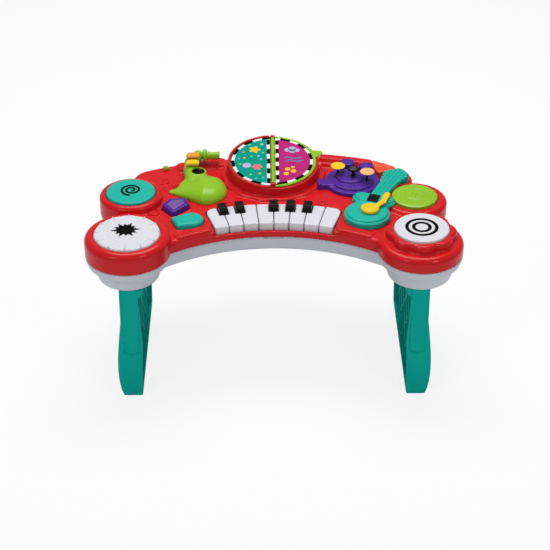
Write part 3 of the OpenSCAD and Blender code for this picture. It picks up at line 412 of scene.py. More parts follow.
# the castings on the deck start a little below its surface
ROOT = DECK - 1.0
DECK_WALL, BASE_WALL = 3.6, 3.8
LOBE_R, SPIRAL_R, CYMBAL_R = 61.6, 47.0, 48.5
BOOK_Y, BOOK_Z, TILT = 84.0, 263.853, radians(5.8)
PURPLE = [(-160, -14), (-152, 0), (-134, 1), (-131, -12), (-148, -30)]
LENS = [(155.5, 108), (172, 100.5), (184, 94), (186.5, 90.5), (183, 88), (163.5, 79.5), (159, 89)]
DIAL, SLIDER, SLIDER_TURN = (141, -41), (-165.4, 102.8), radians(20.7)


def about_arc(x, y):
    """Radius and angle about the keyboard's centre, the angle positive to the right."""
    return np.hypot(x, y - ARC_Y), np.arctan2(x, y - ARC_Y)


def crescent(x, y):
    """The deck's plan without its drum lobes."""
    r, a = about_arc(x, y)
    a = abs(a)
    body = corner(r * (a - radians(28.1)), r - REAR_R, 34)
    waist = corner(r * (a - radians(39.0)), r - WAIST_R, 10)
    plan = melt(melt(body, waist, 14), disc(x, y, (0, 86), 79), 6)
    return keep(plan, FRONT_R - r, 1.0)


def teal_plan(x, y):
    hull = outline(x, y, [(-121, -34), (-145, -45), (-150, -50), (-142, -69), (-137, -73), (-119, -70)])
    return either(hull, web(x, y, (-121, -52, 18), (-145, -50, 5), (-137, -68, 5)))


def book_place(x, y, z):
    """A point in the tilted book's own frame."""
    return x, *spun(y, z, (BOOK_Y, BOOK_Z), TILT)


# %% [markdown]
# ## The red deck
# The real part is one large injection moulding, open below. It has a rolled edge all round, four drum
# lobes, a turret for the book, a well for the keys and raised trims. It is one form: outlines are raised
# with rounded edges, melted together, hollowed to a wall, and then the openings are cut.

# %% Deck form
def petals(x, y):
    """The scalloped tier under the ring drum."""
    plan = disc(x, y, RING, 45.6)
    for k in range(8):
        turn = radians(45 * k)
        plan = melt(plan, disc(x, y, (RING[0] + 34 * cos(turn), RING[1] + 34 * sin(turn)), 17), 5)
    return plan


def turret(x, y, z):
    """The book's drum-shaped seat, with a step for each page and the two bosses of the hinge pin."""
    bx, by, bz = book_place(x, y, z)
    r = np.hypot(bx, by)
    form = raised(r - 69 - (1.2 - bz) * 0.114, bz, 1.2, 1.6)
    for page in (both(r - 80, -5 - bx), both(r - 64.9, bx)):
        form = carve(form, keep(page, -3 - bz, 0.3), 0.8)
    bosses = keep(both(abs(bx) - 3.6, abs(abs(by) - 63) - 2.6), bz - 3.9, 2.0)
    return melt(form, both(bosses, -6 - bz), 0.8)


def deck_solid(x, y, z):
    r, a = about_arc(x, y)
    side = abs(a)
    bar = corner(abs(r - 281) - 7.5, r * (abs(side - radians(24.9)) - radians(5.7)), 5)
    trim = corner(abs(r - 467) - 9, r * (abs(a - radians(14.1)) - radians(5.1)), 6)
    band = corner(abs(r - 464) - 12, r * (abs(side - radians(13.8)) - 0.084 - 0.038 * (a > 0)), 8)
    # the book's turret stands in a low scalloped moulding
    scallop = disc(x, y, (0, BOOK_Y), 79) - 1.3 * np.cos(14 * np.arctan2(y - BOOK_Y, x))
    form = pile(raised(crescent(x, y), z, DECK, 6), z,
                (bar, DECK + 2.2, 2, 2), (trim, DECK + 11, 5, 5), (band, DECK + 5, 4, 5),
                (disc(x, y, STAR, LOBE_R), RIM, 10, 4), (disc(x, y, SPIRAL, SPIRAL_R), RIM, 7, 4),
                (disc(x, y, CYMBAL, CYMBAL_R), CYMBAL_RIM, 7, 4),
                (disc(x, y, LOBE_RIGHT, LOBE_R), DECK + 3, 9, 4),
                (petals(x, y), RING_RIM, 5, 3), (scallop, DECK + 3.4, 2.5, 2.5))
    form = melt(form, turret(x, y, z), 2.0)
    # low collars round the light buttons
    form = pile(form, z, *[(abs(plan - 2.2) - 1.6, DECK + 0.9, 0.8, 1.0)
                           for plan in (outline(x, y, PURPLE) - 5.5, teal_plan(x, y))])
    # the low sill in front of the keys
    sill = both(r * (side - radians(18.5)), r - 290)
    return carve(form, both(sill, LEDGE - z), 1.2)


def deck_form(x, y, z):
    form = deck_solid(x, y, z)
    form = both(form, -(form + DECK_WALL))
    # room for each pad's flange under its rim
    for at, radius, rim in DRUMS:
        form = both(form, -both(disc(x, y, at, radius + 2.4), z - rim + 2.4))
    holes = [disc(x, y, at, radius + 0.6) for at, radius, rim in DRUMS]
    holes += [disc(x, y, DIAL, 4.6), outline(x, y, LENS) - 3.0, outline(x, y, PURPLE) - 6.1,
              teal_plan(x, y) - 0.6]
    for plan in holes:
        form = carve(form, both(plan, SEAM + 8 - z), 0.9)
    r, a = about_arc(x, y)
    well = corner(r * (abs(a) - radians(18.2)), r - 333.5, 13)
    form = carve(form, both(well, 276.4 - r), 0.9)
    u, v = spun(x, y, SLIDER, SLIDER_TURN)
    slot = both(abs(u - 6) - 8.5, abs(v) - 1.5)
    return both(carve(form, both(slot, DECK - 0.6 - z), 0.4), SEAM - z)


cast("red_deck", deck_form, (-275, -168, 217), (275, 168, 277), 2.0, "housing", "red_shell", "top_shell")

# %% [markdown]
# ## The pale base
# Below the seam sits a second moulding: a shallow tray with a bowl under each front drum, which takes the
# top of a leg. It stands in a little from the red edge, so that a shadow line shows. Its lower edges are
# rounded, and underneath are the screw wells, the loudspeaker's opening and the battery door's recess.

# %% Base form
SCREWS = [(288 * sin(a), ARC_Y + 288 * cos(a)) for a in (radians(-27), radians(27))]
SCREWS += [(-186, 48), (186, 48), (-92, 112), (92, 112)]
SPEAKER, BATTERY, DOOR_SCREW = (105, 66), (0, 88), (34.5, 88)


def base_solid(x, y, z):
    plan = either(crescent(x, y), either(disc(x, y, SPIRAL, SPIRAL_R), disc(x, y, CYMBAL, CYMBAL_R)))
    form = corner(plan + 3, BASE_Z - z, 5)
    for at, foot, brim in ((STAR, 42, 48), (LOBE_RIGHT, 44, 57)):
        r = disc(x, y, at, 0)
        bowl = r - foot - 3 - (brim - foot - 1) * np.clip((z - 184) / 26, 0, 1) ** 1.4
        form = melt(form, corner(bowl, BOWL_Z - z, 6), 3)
        form = melt(form, both(r - 58 - 3.3 * np.clip((z - 206) / 10, 0, 1), 206 + (58 - r) * 0.2 - z), 4)
    flange = either(plan, either(disc(x, y, STAR, LOBE_R), disc(x, y, LOBE_RIGHT, LOBE_R)))
    form = either(form, both(flange + 0.4, 216.4 - z))
    for at in SCREWS:
        form = carve(form, both(disc(x, y, at, 3.6), z - 200.6), 0.8)
    door = both(abs(x - BATTERY[0]) - 38.4, abs(y - BATTERY[1]) - 28.4)
    return carve(form, both(door, z - 197.0), 0.6)


def base_form(x, y, z):
    form = base_solid(x, y, z)
    form = both(form, -(form + BASE_WALL))
    form = carve(form, both(disc(x, y, SPEAKER, 20), z - 205), 0.8)
    for sign in (-1, 1):
        for at_y, seat in TONGUES:
            slot = both(abs(x - sign * LEG_X) - 7.8, abs(y - at_y) - 10.3)
            form = carve(form, both(slot, z - seat - 12), 0.5)
    return both(form, z - SEAM)


cast("pale_base_tray", base_form, (-273, -167, 178), (273, 167, 221), 2.1, "housing", "pale_base",
     "bottom_shell")

# %% [markdown]
# ## The legs
# Each leg is a wide, thin panel that bows outwards near the floor. It is open towards the middle of the
# table and stiffened by diagonal ribs. Two tongues on top push into the base. The front view and the side
# view are two outlines, and the leg is what lies in both. The right leg is the left one, mirrored.

# %% Leg form
def leg_edge(inset):
    steps = [k / 12 for k in range(12, -1, -1)]
    return [(inset - 14 - 7 * sin(pi * t ** 0.7), inset + (125 - inset) * t) for t in steps]


LEG_FRONT = [(14, 0), (17, 90), (12.5, 166), (20, 171), (20, 195), (-14, 195)] + leg_edge(0)
LEG_HOLLOW = [(60, 3), (60, 192), (-11, 192)] + leg_edge(3)


def leg_side(inset):
    return [(-158 + inset, inset), (90 - inset, inset), (54 - inset, BASE_Z - inset),
            (-49.4 + inset, BASE_Z - inset), (-49.4 + inset, BOWL_Z - inset), (-145 + inset, BOWL_Z - inset)]


def leg_form(x, y, z):
    u = x + LEG_X
    form = keep(outline(u, z, LEG_FRONT), outline(y, z, leg_side(0)), 3.0)
    # the front flange steps back by a little above a curved line
    step = both(both(abs(u - 1) - 11.5, y + 156.6 - 0.0722 * z), 72 + 0.04 * u * u - z)
    form = carve(form, step, 1.0)
    # a soft crease runs up the outer panel
    crease = abs((z - 86) - (y + 32) * 0.06) - 1.0
    form = carve(form, both(crease, abs(u + 21.5) - 1.6), 1.2)
    ribs = either.reduce([abs(spun(y, z, (48 * k - 32, 90), turn)[0]) - 1.5
                          for k in range(-2, 4) for turn in (radians(42), radians(-42))])
    hollow = keep(outline(u, z, LEG_HOLLOW), outline(y, z, leg_side(4.6)), 2.0)
    form = carve(form, keep(hollow, -keep(ribs, u - 8, 1.0), 0.8), 1.0)
    for at_y, seat in TONGUES:
        tongue = keep(both(abs(u) - 7.5, abs(y - at_y) - 10), z - seat - 18, 1.5)
        form = either(form, both(tongue, seat - 2 - z))
    return form


points, faces, normals = mould_mesh(leg_form, (-236, -158, -2), (-186, 94, 216), 1.7)
points[:, 2] = points[:, 2].clip(0.0)
for side, sign in (("left", 1), ("right", -1)):
    panel = mesh_piece(f"{side}_leg_panel", points * (sign, 1, 1), faces[:, ::sign].tolist(), None,
                       normals * (sign, 1, 1))
    settle(panel, f"{side}_leg", "leg_teal", f"{side}_leg")

# %% [markdown]
# ## The keys
# The keys fan out about the deck's centre, so each white key is a slice of a ring: rounded at its front
# corners, notched where a black key passes, and rounded widely at the keyboard's two ends. A black key is
# a tall block with a sloping, rounded front. Each one keeps the lever that it is hinged on.

# %% Keys
PITCH = radians(4.5)
BLACK_AT = [(n - 4) * PITCH for n in (1, 2, 4, 5, 6)]
HINGE_Z, LEVER_R = 229, 328
KEY_R, KEY_HALF, BLACK_FRONT = 304.5, 27.5, 310.6


def key_lever(u, v, z, width, reach):
    """The arm behind a key, from across and along it, with the barrel of its hinge."""
    arm = both(both(abs(u) - width / 2, abs(z - HINGE_Z) - 3),
               abs(v - (LEVER_R + reach) / 2) - (reach - LEVER_R) / 2)
    return either(arm, both(np.hypot(v - reach, z - HINGE_Z) - 3, abs(u) - width / 2))


def white_form(index):
    angle, half = (index - 4.5) * PITCH, radians(2.147)

    def form(x, y, z):
        r, a = about_arc(x, y)
        turn = a - angle
        side = r * (abs(turn) - half)
        outer = {1: -turn, 8: turn}.get(index, -np.ones_like(turn))
        rounding = np.where(r < KEY_R, 3.2, np.where(outer > 0, 12.0, 1.6))
        plan = corner(side, abs(r - KEY_R) - KEY_HALF, rounding)
        for black in BLACK_AT:
            if abs(black - angle) < 0.6 * PITCH:
                plan = carve(plan, both(abs(r * np.sin(a - black)) - 7.5, 309.9 - r), 0.8)
        body = both(raised(plan, z, KEY_TOP, 1.8), corner(side, 224.4 - z, 3.2))
        return either(body, key_lever(*spun(x, y, (0, ARC_Y), -angle), z, 12.6, 342))
    return form


def black_form(angle):
    profile = [(BLACK_FRONT, 226), (332, 226), (332, 246.9), (318, 246.9), (312.6, 243.6),
               (BLACK_FRONT, 238.6)]

    def form(x, y, z):
        u, v = spun(x, y, (0, ARC_Y), -angle)
        taper = abs(u) - 6.9 + np.clip(z - DECK, 0, 9) * 0.08
        front = keep(outline(v, z, profile), BLACK_FRONT + 0.022 * u * u - v, 1.0)
        return either(keep(front, taper, 1.4), key_lever(u, v, z, 8, 352))
    return form


def key_box(angle, reach):
    cx, cy = 310 * sin(angle), ARC_Y + 310 * cos(angle)
    return (cx - 24, cy - 46, 222), (cx + 24, cy + reach, 249)


for n in range(1, 9):
    cast(f"white_key_{n}_cap", white_form(n), *key_box((n - 4.5) * PITCH, 36), 1.15,
         f"white_{n}", "white_plastic", f"white_key_{n}")
for n, angle in enumerate(BLACK_AT, 1):
    cast(f"black_key_{n}_cap", black_form(angle), *key_box(angle, 48), 0.95,
         f"black_{n}", "black_plastic", f"black_key_{n}")

# %% [markdown]
# ## The drum pads
# Each pad is a disc that floats on a stem, with a skirt that hides the gap and a flange that keeps it in.
# A turned profile gives the whole section at once. The star drum has grooves that run out to its edge
# like pleats, and the profile's points are pushed down along those lines.

# %% Turning
def eased(points, r, steps=3):
    """A profile whose inner corners are rounded by about r."""
    points = [np.array(p, float) for p in points]
    out = [points[0]]
    for before, here, after in zip(points, points[1:], points[2:]):
        a, b = before - here, after - here
        la, lb = np.linalg.norm(a), np.linalg.norm(b)
        cut = min(r, la * 0.45, lb * 0.45)
        p, q = here + a / la * cut, here + b / lb * cut
        out += [(1 - t) ** 2 * p + 2 * t * (1 - t) * here + t * t * q for t in np.linspace(0, 1, steps + 1)]
    return np.array(out + [points[-1]])


def turned(name, at, profile, steps=64, warp=None, move=None):
    """Turns a profile of (radius, height) about an upright axis; it starts and ends on that axis."""
    profile = np.asarray(profile, float)
    inner = profile[1:-1]
    r, z = np.repeat(inner[:, :1], steps, 1), np.repeat(inner[:, 1:], steps, 1)
    a = np.broadcast_to(np.arange(steps) * 2 * pi / steps, r.shape)
    if warp:
        r, z = warp(r, z, a)
    rings = np.stack([at[0] + r * np.cos(a), at[1] + r * np.sin(a), z], 2).reshape(-1, 3)
    points = np.concatenate([rings, [[*at, profile[0, 1]], [*at, profile[-1, 1]]]])
    top, bottom, faces = len(rings), len(rings) + 1, []
    last = (len(inner) - 1) * steps
    for j in range(steps):
        k = (j + 1) % steps
        faces += [(top, j, k), (bottom, last + k, last + j)]
        faces += [(i * steps + j, (i + 1) * steps + j, (i + 1) * steps + k, i * steps + k)
                  for i in range(len(inner) - 1)]
    return mesh_piece(name, points, faces, move=move)


def pad_profile(r, crown, rim, top):
    """The crown over the pad's skirt, flange and stem."""
    flange, stop, low = rim - 2.7, 236.0, 215.8
    rest = [(r, rim), (r, flange), (r + 2, flange), (r + 2, flange - 2), (r - 2.5, flange - 2),
            (r - 2.5, top - 3), (7.5, top - 3), (7.5, stop + 2.8), (4, stop + 2.8), (4, low), (0, low)]
    return np.concatenate([crown, eased([crown[-1]] + rest, 0.5)[1:]])


def flat_crown(r, rise, edge, steps=30):
    """A nearly flat top that rolls over at its edge."""
    radii = np.linspace(0, r - edge, steps)
    top = [(q, PAD_TOP - edge * 0.25 + rise * (1 - (q / r) ** 2)) for q in radii]
    level = top[-1][1]
    return np.array(top + [(r - edge + edge * sin(t), level - edge * (1 - cos(t)))
                           for t in np.linspace(0.25, pi / 2, 6)])


PLEATS = 12


def pleats(r, z, a):
    """Presses the star drum's radial grooves into its top, from mid-radius out to the edge."""
    turn = (a * PLEATS / (2 * pi) + 0.5) % 1 - 0.5
    away = abs(turn) * 2 * pi / PLEATS * r
    fade = np.clip((r - 24) / 20, 0, 1)
    depth = 1.5 * np.exp(-(away / 0.8) ** 2) * np.clip((r - 30) / 10, 0, 1)
    return r, z - np.where(z > RIM, depth - 0.35 * np.cos(2 * pi * turn) * fade + 0.35 * fade, 0)


# %% Pads
ring_crown = flat_crown(39.5, 0.4, 1.8) + (0, RING_TOP - PAD_TOP)
dome = eased([(0, 252.0), (3.8, 251.9), (5.2, 250.4), (8, 250.5), (13.4, 250.0), (15.2, 249.1), (30, 247.7),
              (33.7, 246.3)], 1.4, 4)
PADS = (("star_drum", flat_crown(47.5, 1.2, 3.0, 40), PAD_TOP, "star_pad", "white_plastic", "star_drum_pad"),
        ("spiral_drum", flat_crown(36.8, 0.8, 2.6), PAD_TOP, "spiral_pad", "pad_teal", "spiral_drum_pad"),
        ("ring_drum", ring_crown, RING_TOP, "ring_pad", "white_plastic", "ring_drum_pad"),
        ("cymbal_drum", dome, CYMBAL_TOP, "cymbal_pad_body", "lime_plastic", "cymbal_pad"))
for (name, crown, top, body, slot, node), (at, radius, rim) in zip(PADS, DRUMS):
    pleated = (360, pleats) if at == STAR else (128,)
    settle(turned(name, at, pad_profile(radius, crown, rim, top), *pleated), body, slot, node)
boss = eased([(0, 238.2), (5.2, 238.2), (6.2, 239.6), (7.4, 240.3), (8.6, 240.2), (9.8, 239.0), (10.2, 237.2),
              (0, 237.2)], 0.8)
settle(turned("ring_boss", (-178, -24), boss), "housing", "red_shell")

# %% [markdown]
# ## Growing things with Geometry Nodes
# What repeats or follows a path is better grown than placed. A small builder starts a tree with named
# inputs. `grow` puts it on an object, sets each input by its socket's identifier, takes the evaluated mesh
# and drops the modifier, so that what is left is a plain mesh.

# %% Growing
def plant(name, sizes, takes_points=False):
    """Starts a tree whose inputs are the named sizes; returns a wire for each input."""
    tree = bpy.data.node_groups.new(name, "GeometryNodeTree")
    if takes_points:
        tree.interface.new_socket("Geometry", in_out="INPUT", socket_type="NodeSocketGeometry")
    for label, value in sizes.items():
        kind = "NodeSocketInt" if isinstance(value, int) else "NodeSocketFloat"
        tree.interface.new_socket(label, in_out="INPUT", socket_type=kind).default_value = value
    tree.interface.new_socket("Geometry", in_out="OUTPUT", socket_type="NodeSocketGeometry")
    return {s.name: Wire(tree, s) for s in tree.nodes.new("NodeGroupInput").outputs if s.name}


def harvest(result, look):
    """Ends a tree in Realize Instances and Set Material."""
    real = result.node("GeometryNodeRealizeInstances", result)
    done = real.node("GeometryNodeSetMaterial", real, Material=look)
    done.node("NodeGroupOutput", done)
    return result.tree


def scatter(points, item, look, **more):
    """Ends a tree with a copy of an item on every point."""
    return harvest(points.node("GeometryNodeInstanceOnPoints", points, Instance=item, **more), look)


def grow(name, tree, sizes=None, points=(), move=None):
    """Grows a tree into a plain mesh, from points in millimetres where it starts from some."""
    mesh = bpy.data.meshes.new(name)
    mesh.from_pydata([tuple(0.001 * v for v in p) for p in points], [], [])
    piece = bpy.data.objects.new(name, mesh)
    scene.collection.objects.link(piece)
    modifier = piece.modifiers.new("grow", "NODES")
    modifier.node_group = tree
    for item in tree.interface.items_tree:
        if item.in_out == "INPUT" and item.name in (sizes or {}):
            modifier[item.identifier] = sizes[item.name]
    bpy.context.view_layer.update()
    grown = bpy.data.meshes.new_from_object(piece.evaluated_get(bpy.context.evaluated_depsgraph_get()))
    piece.modifiers.remove(modifier)
    piece.data = grown
    grown.name = name
    work = bmesh.new()
    work.from_mesh(grown)
    bmesh.ops.remove_doubles(work, verts=work.verts, dist=1e-6)
    bmesh.ops.recalc_face_normals(work, faces=work.faces)
    work.to_mesh(grown)
    work.free()
    if move is not None:
        grown.transform(move)
    grown.shade_smooth()
    grown.set_sharp_from_angle(angle=radians(35))
    return piece


def lift(x, y, z, turn=0.0):
    """A move to a place in millimetres, turned about the upright axis."""
    return Matrix.Translation((0.001 * x, 0.001 * y, 0.001 * z)) @ Matrix.Rotation(turn, 4, "Z")


# %% [markdown]
# ## Marks on the drums
# The spiral, the rings and the burst are thin black inlays. A curve swept by a flat section makes the
# spiral and the rings. The burst is a ragged star, so it is drawn point by point and given a thickness.
# Small cones round the star drum's edge are planted on the points of a circle.

# %% Spiral and rings
def ink(piece, body, colour, *nodes):
    """Hands over a thin print, finished in its own print colour. The slot picked by body, the book's own or
    black for the drums, is passed on but goes unused, as the print brings its finish.
    """
    slot = {"housing": "pad_teal", "page": "book_print"}.get(body, "black_plastic")
    settle(piece, body, slot, *nodes, look=PRINTS[colour])


def ribbon(path, inlay):
    """Sweeps a flat section along a curve."""
    section = path.node("GeometryNodeCurvePrimitiveQuadrilateral", Width=inlay["Width"],
                        Height=inlay["Thickness"])
    band = path.node("GeometryNodeCurveToMesh", Curve=path, Profile_Curve=section, Fill_Caps=True)
    return harvest(band, PRINTS["black"])


inlay = plant("spiral_ribbon", {"Turns": 2.0, "Inner radius": 0.0025, "Outer radius": 0.0160,
                                "Width": 0.0033, "Thickness": 0.0006})
coil = inlay["Turns"].node("GeometryNodeCurveSpiral", Resolution=48, Rotations=inlay["Turns"], Height=0.0,
                           Start_Radius=inlay["Inner radius"], End_Radius=inlay["Outer radius"],
                           Reverse=True)
ink(grow("spiral_mark", ribbon(coil, inlay), move=lift(SPIRAL[0] + 1, SPIRAL[1] + 2, 254.85, -1.66)),
    "spiral_pad", "black")

inlay = plant("ring_ribbon", {"Radius": 0.0214, "Width": 0.0050, "Thickness": 0.0006})
loop = inlay["Radius"].node("GeometryNodeCurvePrimitiveCircle", Resolution=96, Radius=inlay["Radius"])
tree = ribbon(loop, inlay)
for name, radius in (("wide", 0.0214), ("small", 0.0117)):
    ink(grow(f"ring_mark_{name}", tree, {"Radius": radius}, move=lift(*RING, RING_TOP - 0.2)), "ring_pad",
        "black")

# %% Burst
def plaque(name, rings, low, top, move):
    """Flat shapes of a given thickness, each drawn as a ring of plan points in millimetres."""
    points, faces = [], []
    for plan in rings:
        n, start = len(plan), len(points)
        points += [(x, y, z) for z in (low, top) for x, y in plan]
        faces.append(tuple(start + i for i in range(n - 1, -1, -1)))
        faces.append(tuple(start + n + i for i in range(n)))
        faces += [(start + i, start + (i + 1) % n, start + n + (i + 1) % n, start + n + i) for i in range(n)]
    return mesh_piece(name, points, faces, sharp=30, move=move)


BURST = [21, 12, 17, 12, 20, 12, 16, 11, 20, 12, 18, 12, 21, 12, 17, 12, 20, 11, 16, 12, 20, 12, 18, 12]
burst = [(r * cos(radians(15 * k + 6)), r * sin(radians(15 * k + 6))) for k, r in enumerate(BURST)]
ink(plaque("burst_mark", [burst], 254.2, 255.3, lift(STAR[0] - 2, STAR[1] + 4, 0)), "star_pad", "black")

# %% Points on the star drum's edge
ears = plant("edge_points", {"Count": 12, "Radius": 0.0456, "Width": 0.0019, "Height": 0.0030})
dots = ears["Count"].node("GeometryNodeMeshCircle", settings={"fill_type": "NONE"}, Vertices=ears["Count"],
                          Radius=ears["Radius"])
cone = ears["Width"].node("GeometryNodeMeshCone", Vertices=12, Side_Segments=3, Depth=ears["Height"],
                          Radius_Top=ears["Width"] * 0.22, Radius_Bottom=ears["Width"])
tree = scatter(dots, cone, LOOKS["white_plastic"])
settle(grow("edge_points", tree, move=lift(*STAR, 252.4)), "star_pad", "white_plastic")

# %% [markdown]
# ## The two light buttons
# Both are caps that click down. The purple one is a rim round a paler window, and the teal one is a soft
# pillow, wide at one end and cut straight at the other.

# %% Light buttons
def purple_form(x, y, z):
    plan = outline(x, y, PURPLE) - 5.5
    form = slab(plan + np.clip(z - 240, 0, 8) * 0.16, z, 233.0, 246.0, 2.2)
    return carve(form, both(plan + 4.4, 245.2 - z), 0.9)


def lens_form(x, y, z):
    middle = np.hypot(x + 146, y + 11)
    return slab(outline(x, y, PURPLE) + 1.0, z, 243.5, 246.6 - 0.004 * middle ** 2, 0.8)


def pillow_form(x, y, z):
    middle = np.hypot((x + 127) / 1.2, y + 54)
    plan = teal_plan(x, y) + np.clip(z - 240, 0, 8) ** 2 * 0.035
    return slab(plan, z, 233.0, 246.4 - 0.0035 * middle ** 2, 3.2)


low, high = (-174, -44, 231), (-122, 16, 249)
cast("purple_light_cap", purple_form, low, high, 0.95, "purple_light_button", "purple_plastic",
     "purple_button")
# the window's lilac finish has a faint painted glow, though no lamp is under it
cast("purple_light_window", lens_form, low, high, 0.95, "purple_light_button", "lilac_plastic",
     "purple_button_lens")
cast("teal_light_cap", pillow_form, (-156, -78, 231), (-99, -30, 249), 0.95, "teal_light_button", "pad_teal",
     "teal_button")

# %% [markdown]
# ## The horn
# A lime horn lies on the deck: a big bell dome with a pointed end, a neck that climbs to a mouthpiece, and
# a short side pipe with a black mouth. It is the softest form on the table, so it is melted together from
# a flattened ball and round limbs. Two coloured keys sit in a flat cut on the neck. The small lime slider
# to its left sets the volume.

# %% Horn
BELL, MOUTH = (-114, 67), (-116, 115, 256.2)
ELBOW, COLLAR = (-125.5, 80, 247, 11), (-125.5, 103, 250, 10)
HORN_KEYS = [((-123, 82), 258.2), ((-123, 101), 260.0)]
HORN_LIMBS = (((-121, 50, 243, 12), ELBOW, 5), (ELBOW, COLLAR, 3), (COLLAR, (*MOUTH, 8.5), 3),
              ((-108, 44, 244, 13), (*BELL, 241.6, 12.6), 5))


def horn_form(x, y, z):
    flat = (x, y, (z - 240) * 2)
    form = 0.7 * limb(flat, (-104, 30, 0, 34), (-151, 32.5, -1, 6))
    form = melt(form, 0.7 * limb(flat, (-124, 44, 2, 19), (-100, 42, 4, 26)), 4)
    for a, b, fillet in HORN_LIMBS:
        form = melt(form, limb((x, y, z), a, b), fillet)
    form = pile(form, z, (disc(x, y, BELL, 12.6), 256.3, 2.2, 3))
    form = carve(form, both(disc(x, y, BELL, 9.8), 254.3 - z), 1.2)
    for at, seat in HORN_KEYS:
        cut = both(both(abs(y - at[1]) - 7.5, abs(x - at[0]) - 20), seat - z)
        form = carve(carve(form, cut, 0.8), both(disc(x, y, at, 2.8), 243 - z), 0.4)
    return both(form, ROOT - z)


def key_cap_form(at, seat):
    def form(x, y, z):
        plan = corner(abs(x - at[0]) - 10.25, abs(y - at[1]) - 6.5, 4.5)
        cap = slab(plan, z, seat + 1.8, seat + 1.8 + 5.0 - 0.014 * (x - at[0]) ** 2, 1.8)
        return either(cap, both(disc(x, y, at, 2.5), abs(z - seat + 4) - 7))
    return form


cast("horn_casting", horn_form, (-160, -8, 235), (-66, 128, 269), 1.4, "housing", "lime_plastic", "horn_body")
throat = eased([(0, 254.6), (7.5, 254.7), (9.0, 255.3), (9.7, 255.4), (9.7, 254.0), (0, 254.0)], 0.4)
settle(turned("horn_throat", BELL, throat), "housing", "black_plastic", "horn_bell_liner")
for ((cx, cy), seat), colour in zip(HORN_KEYS, ("yellow", "orange")):
    cast(f"horn_{colour}_cap", key_cap_form((cx, cy), seat), (cx - 16, cy - 10, seat - 12),
         (cx + 16, cy + 10, seat + 9), 0.8, f"horn_{colour}", f"{colour}_plastic", f"horn_{colour}_key")
pipe = eased([(0, 0.5), (5.9, 0.5), (6.0, 7.4), (9.4, 8.3), (10, 9.2), (10, 12.2), (9.4, 13.0), (6.6, 14.0),
              (5.4, 21), (5.6, 30), (6.4, 32.6), (5.8, 33.5), (4.2, 33.5), (3.8, 31), (0, 31)][::-1], 0.9)
aside = lift(*MOUTH) @ Matrix.Rotation(radians(90), 4, "Y")
settle(turned("horn_mouth_pipe", (0, 0), pipe, move=aside), "housing", "lime_plastic", "horn_mouthpiece")

# %% Volume slider
def slider_form(x, y, z):
    u, v = (abs(q) for q in spun(x, y, SLIDER, SLIDER_TURN))
    knob = slab(corner(u - 4 + (z - 240) * 0.06, v - 3.5, 1.6), z, DECK + 0.3, DECK + 5.8, 1.3)
    grip = both(abs(u - 1.4) - 0.5, DECK + 5.0 - z)
    return either(carve(knob, grip, 0.4), both(both(u, v) - 2, abs(z - 237) - 3))


cast("volume_knob", slider_form, (-172, 96, 233), (-159, 110, 246), 0.55, "slider", "lime_plastic",
     "volume_slider")

# %% [markdown]
# ## The drum kit
# A purple kit rises in rings, with two tom drums behind it and a foot at its left. Over it stand two small
# cymbals and a black snare button on thin rods.

# %% Drum kit
KIT = [(99, 71), (122, 61), (142.5, 53)]
NECK = [(145, 6), (160, 38), (166, 58), (171, 75), (182, 80), (194, 83), (206, 70), (203, 57), (188, 41),
        (175, 18), (166, 0)]


def kit_form(x, y, z):
    form = raised(disc(x, y, (121, 59), 42), z, 244, 2.5)
    for at, radius, top, edge in (((121, 56), 32, 247.5, 2.0), ((118, 61), 22, 251, 3.0)):
        form = pile(form, z, (disc(x, y, at, radius), top, edge, 1.2))
        form = carve(form, np.hypot(disc(x, y, at, radius - 4.5), z - top) - 0.7, 0.5)
    for at in ((115, 95), (143, 83)):
        form = pile(form, z, (disc(x, y, at, 11), 256, 2.0, 2.0))
        form = carve(form, both(disc(x, y, at, 8.4), 255.2 - z), 0.8)
    form = pile(form, z, (corner(abs(x - 80) - 13, abs(y - 50) - 10, 4), 246, 2.5, 3),
                (corner(abs(x - 70) - 2.5, abs(y - 50) - 11.5, 1.5), 248, 1.5, 1.5))
    form = carve(form, outline(x, y, NECK) - 1.5, 1.0)
    form = carve(form, disc(x, y, (0, BOOK_Y), 74.5), 1.0)
    for at in KIT:
        form = carve(form, both(disc(x, y, at, 2.8), 240 - z), 0.5)
    return both(form, ROOT - z)


cast("drum_kit_rings", kit_form, (62, 10, 235), (174, 110, 259), 1.3, "housing", "purple_plastic",
     "drum_kit_base")
plate = eased([(0, 263.5), (2.2, 263.5), (3, 263.0), (10, 262.6), (11, 262.0), (11, 261.5), (10.2, 260.5),
               (2.4, 260.5), (2.3, 261.9), (0, 261.9)], 0.45)
for colour, at in (("yellow", KIT[0]), ("peach", KIT[2])):
    settle(turned(f"small_{colour}_cymbal", at, plate, 72), f"{colour}_cymbal", f"{colour}_plastic",
           f"kit_{colour}_cymbal")
snare = eased([(0, 262.7), (6.2, 262.6), (7.0, 263.5), (8.2, 263.5), (8.8, 262.6), (8.8, 261.2), (8.0, 260.5),
               (2.5, 260.5), (2.5, 244), (0, 244)], 0.4)
settle(turned("snare_button", KIT[1], snare), "snare", "black_plastic", "kit_snare")
head = eased([(0, 262.95), (5.6, 262.9), (6.0, 262.4), (0, 262.3)], 0.3)
grey = plastic("snare_grey", (70, 70, 76), rough=0.3)
settle(turned("snare_head", KIT[1], head), "snare", "black_plastic", look=grey)
rod = eased([(0, 261.8), (1.25, 261.7), (1.25, 260.2), (3.0, 260.1), (3.2, 259.2), (2.4, 258.2), (1.5, 257.4),
             (1.5, 243.5), (2.6, 242.6), (2.6, 240), (0, 240)], 0.4)
settle(turned("cymbal_stand_left", KIT[0], rod, 40), "housing", "black_plastic", "kit_stands")
settle(turned("cymbal_stand_right", KIT[2], rod, 40), "housing", "black_plastic")

# %% [markdown]
# ## The guitar
# A teal guitar leans across the right side: a round lower bout, a smaller upper one, a neck with raised
# strings and a scalloped head. Its edge has a step, as if a thinner plate lay on top. A black block holds
# the strings, and a yellow dial with an arm strums.

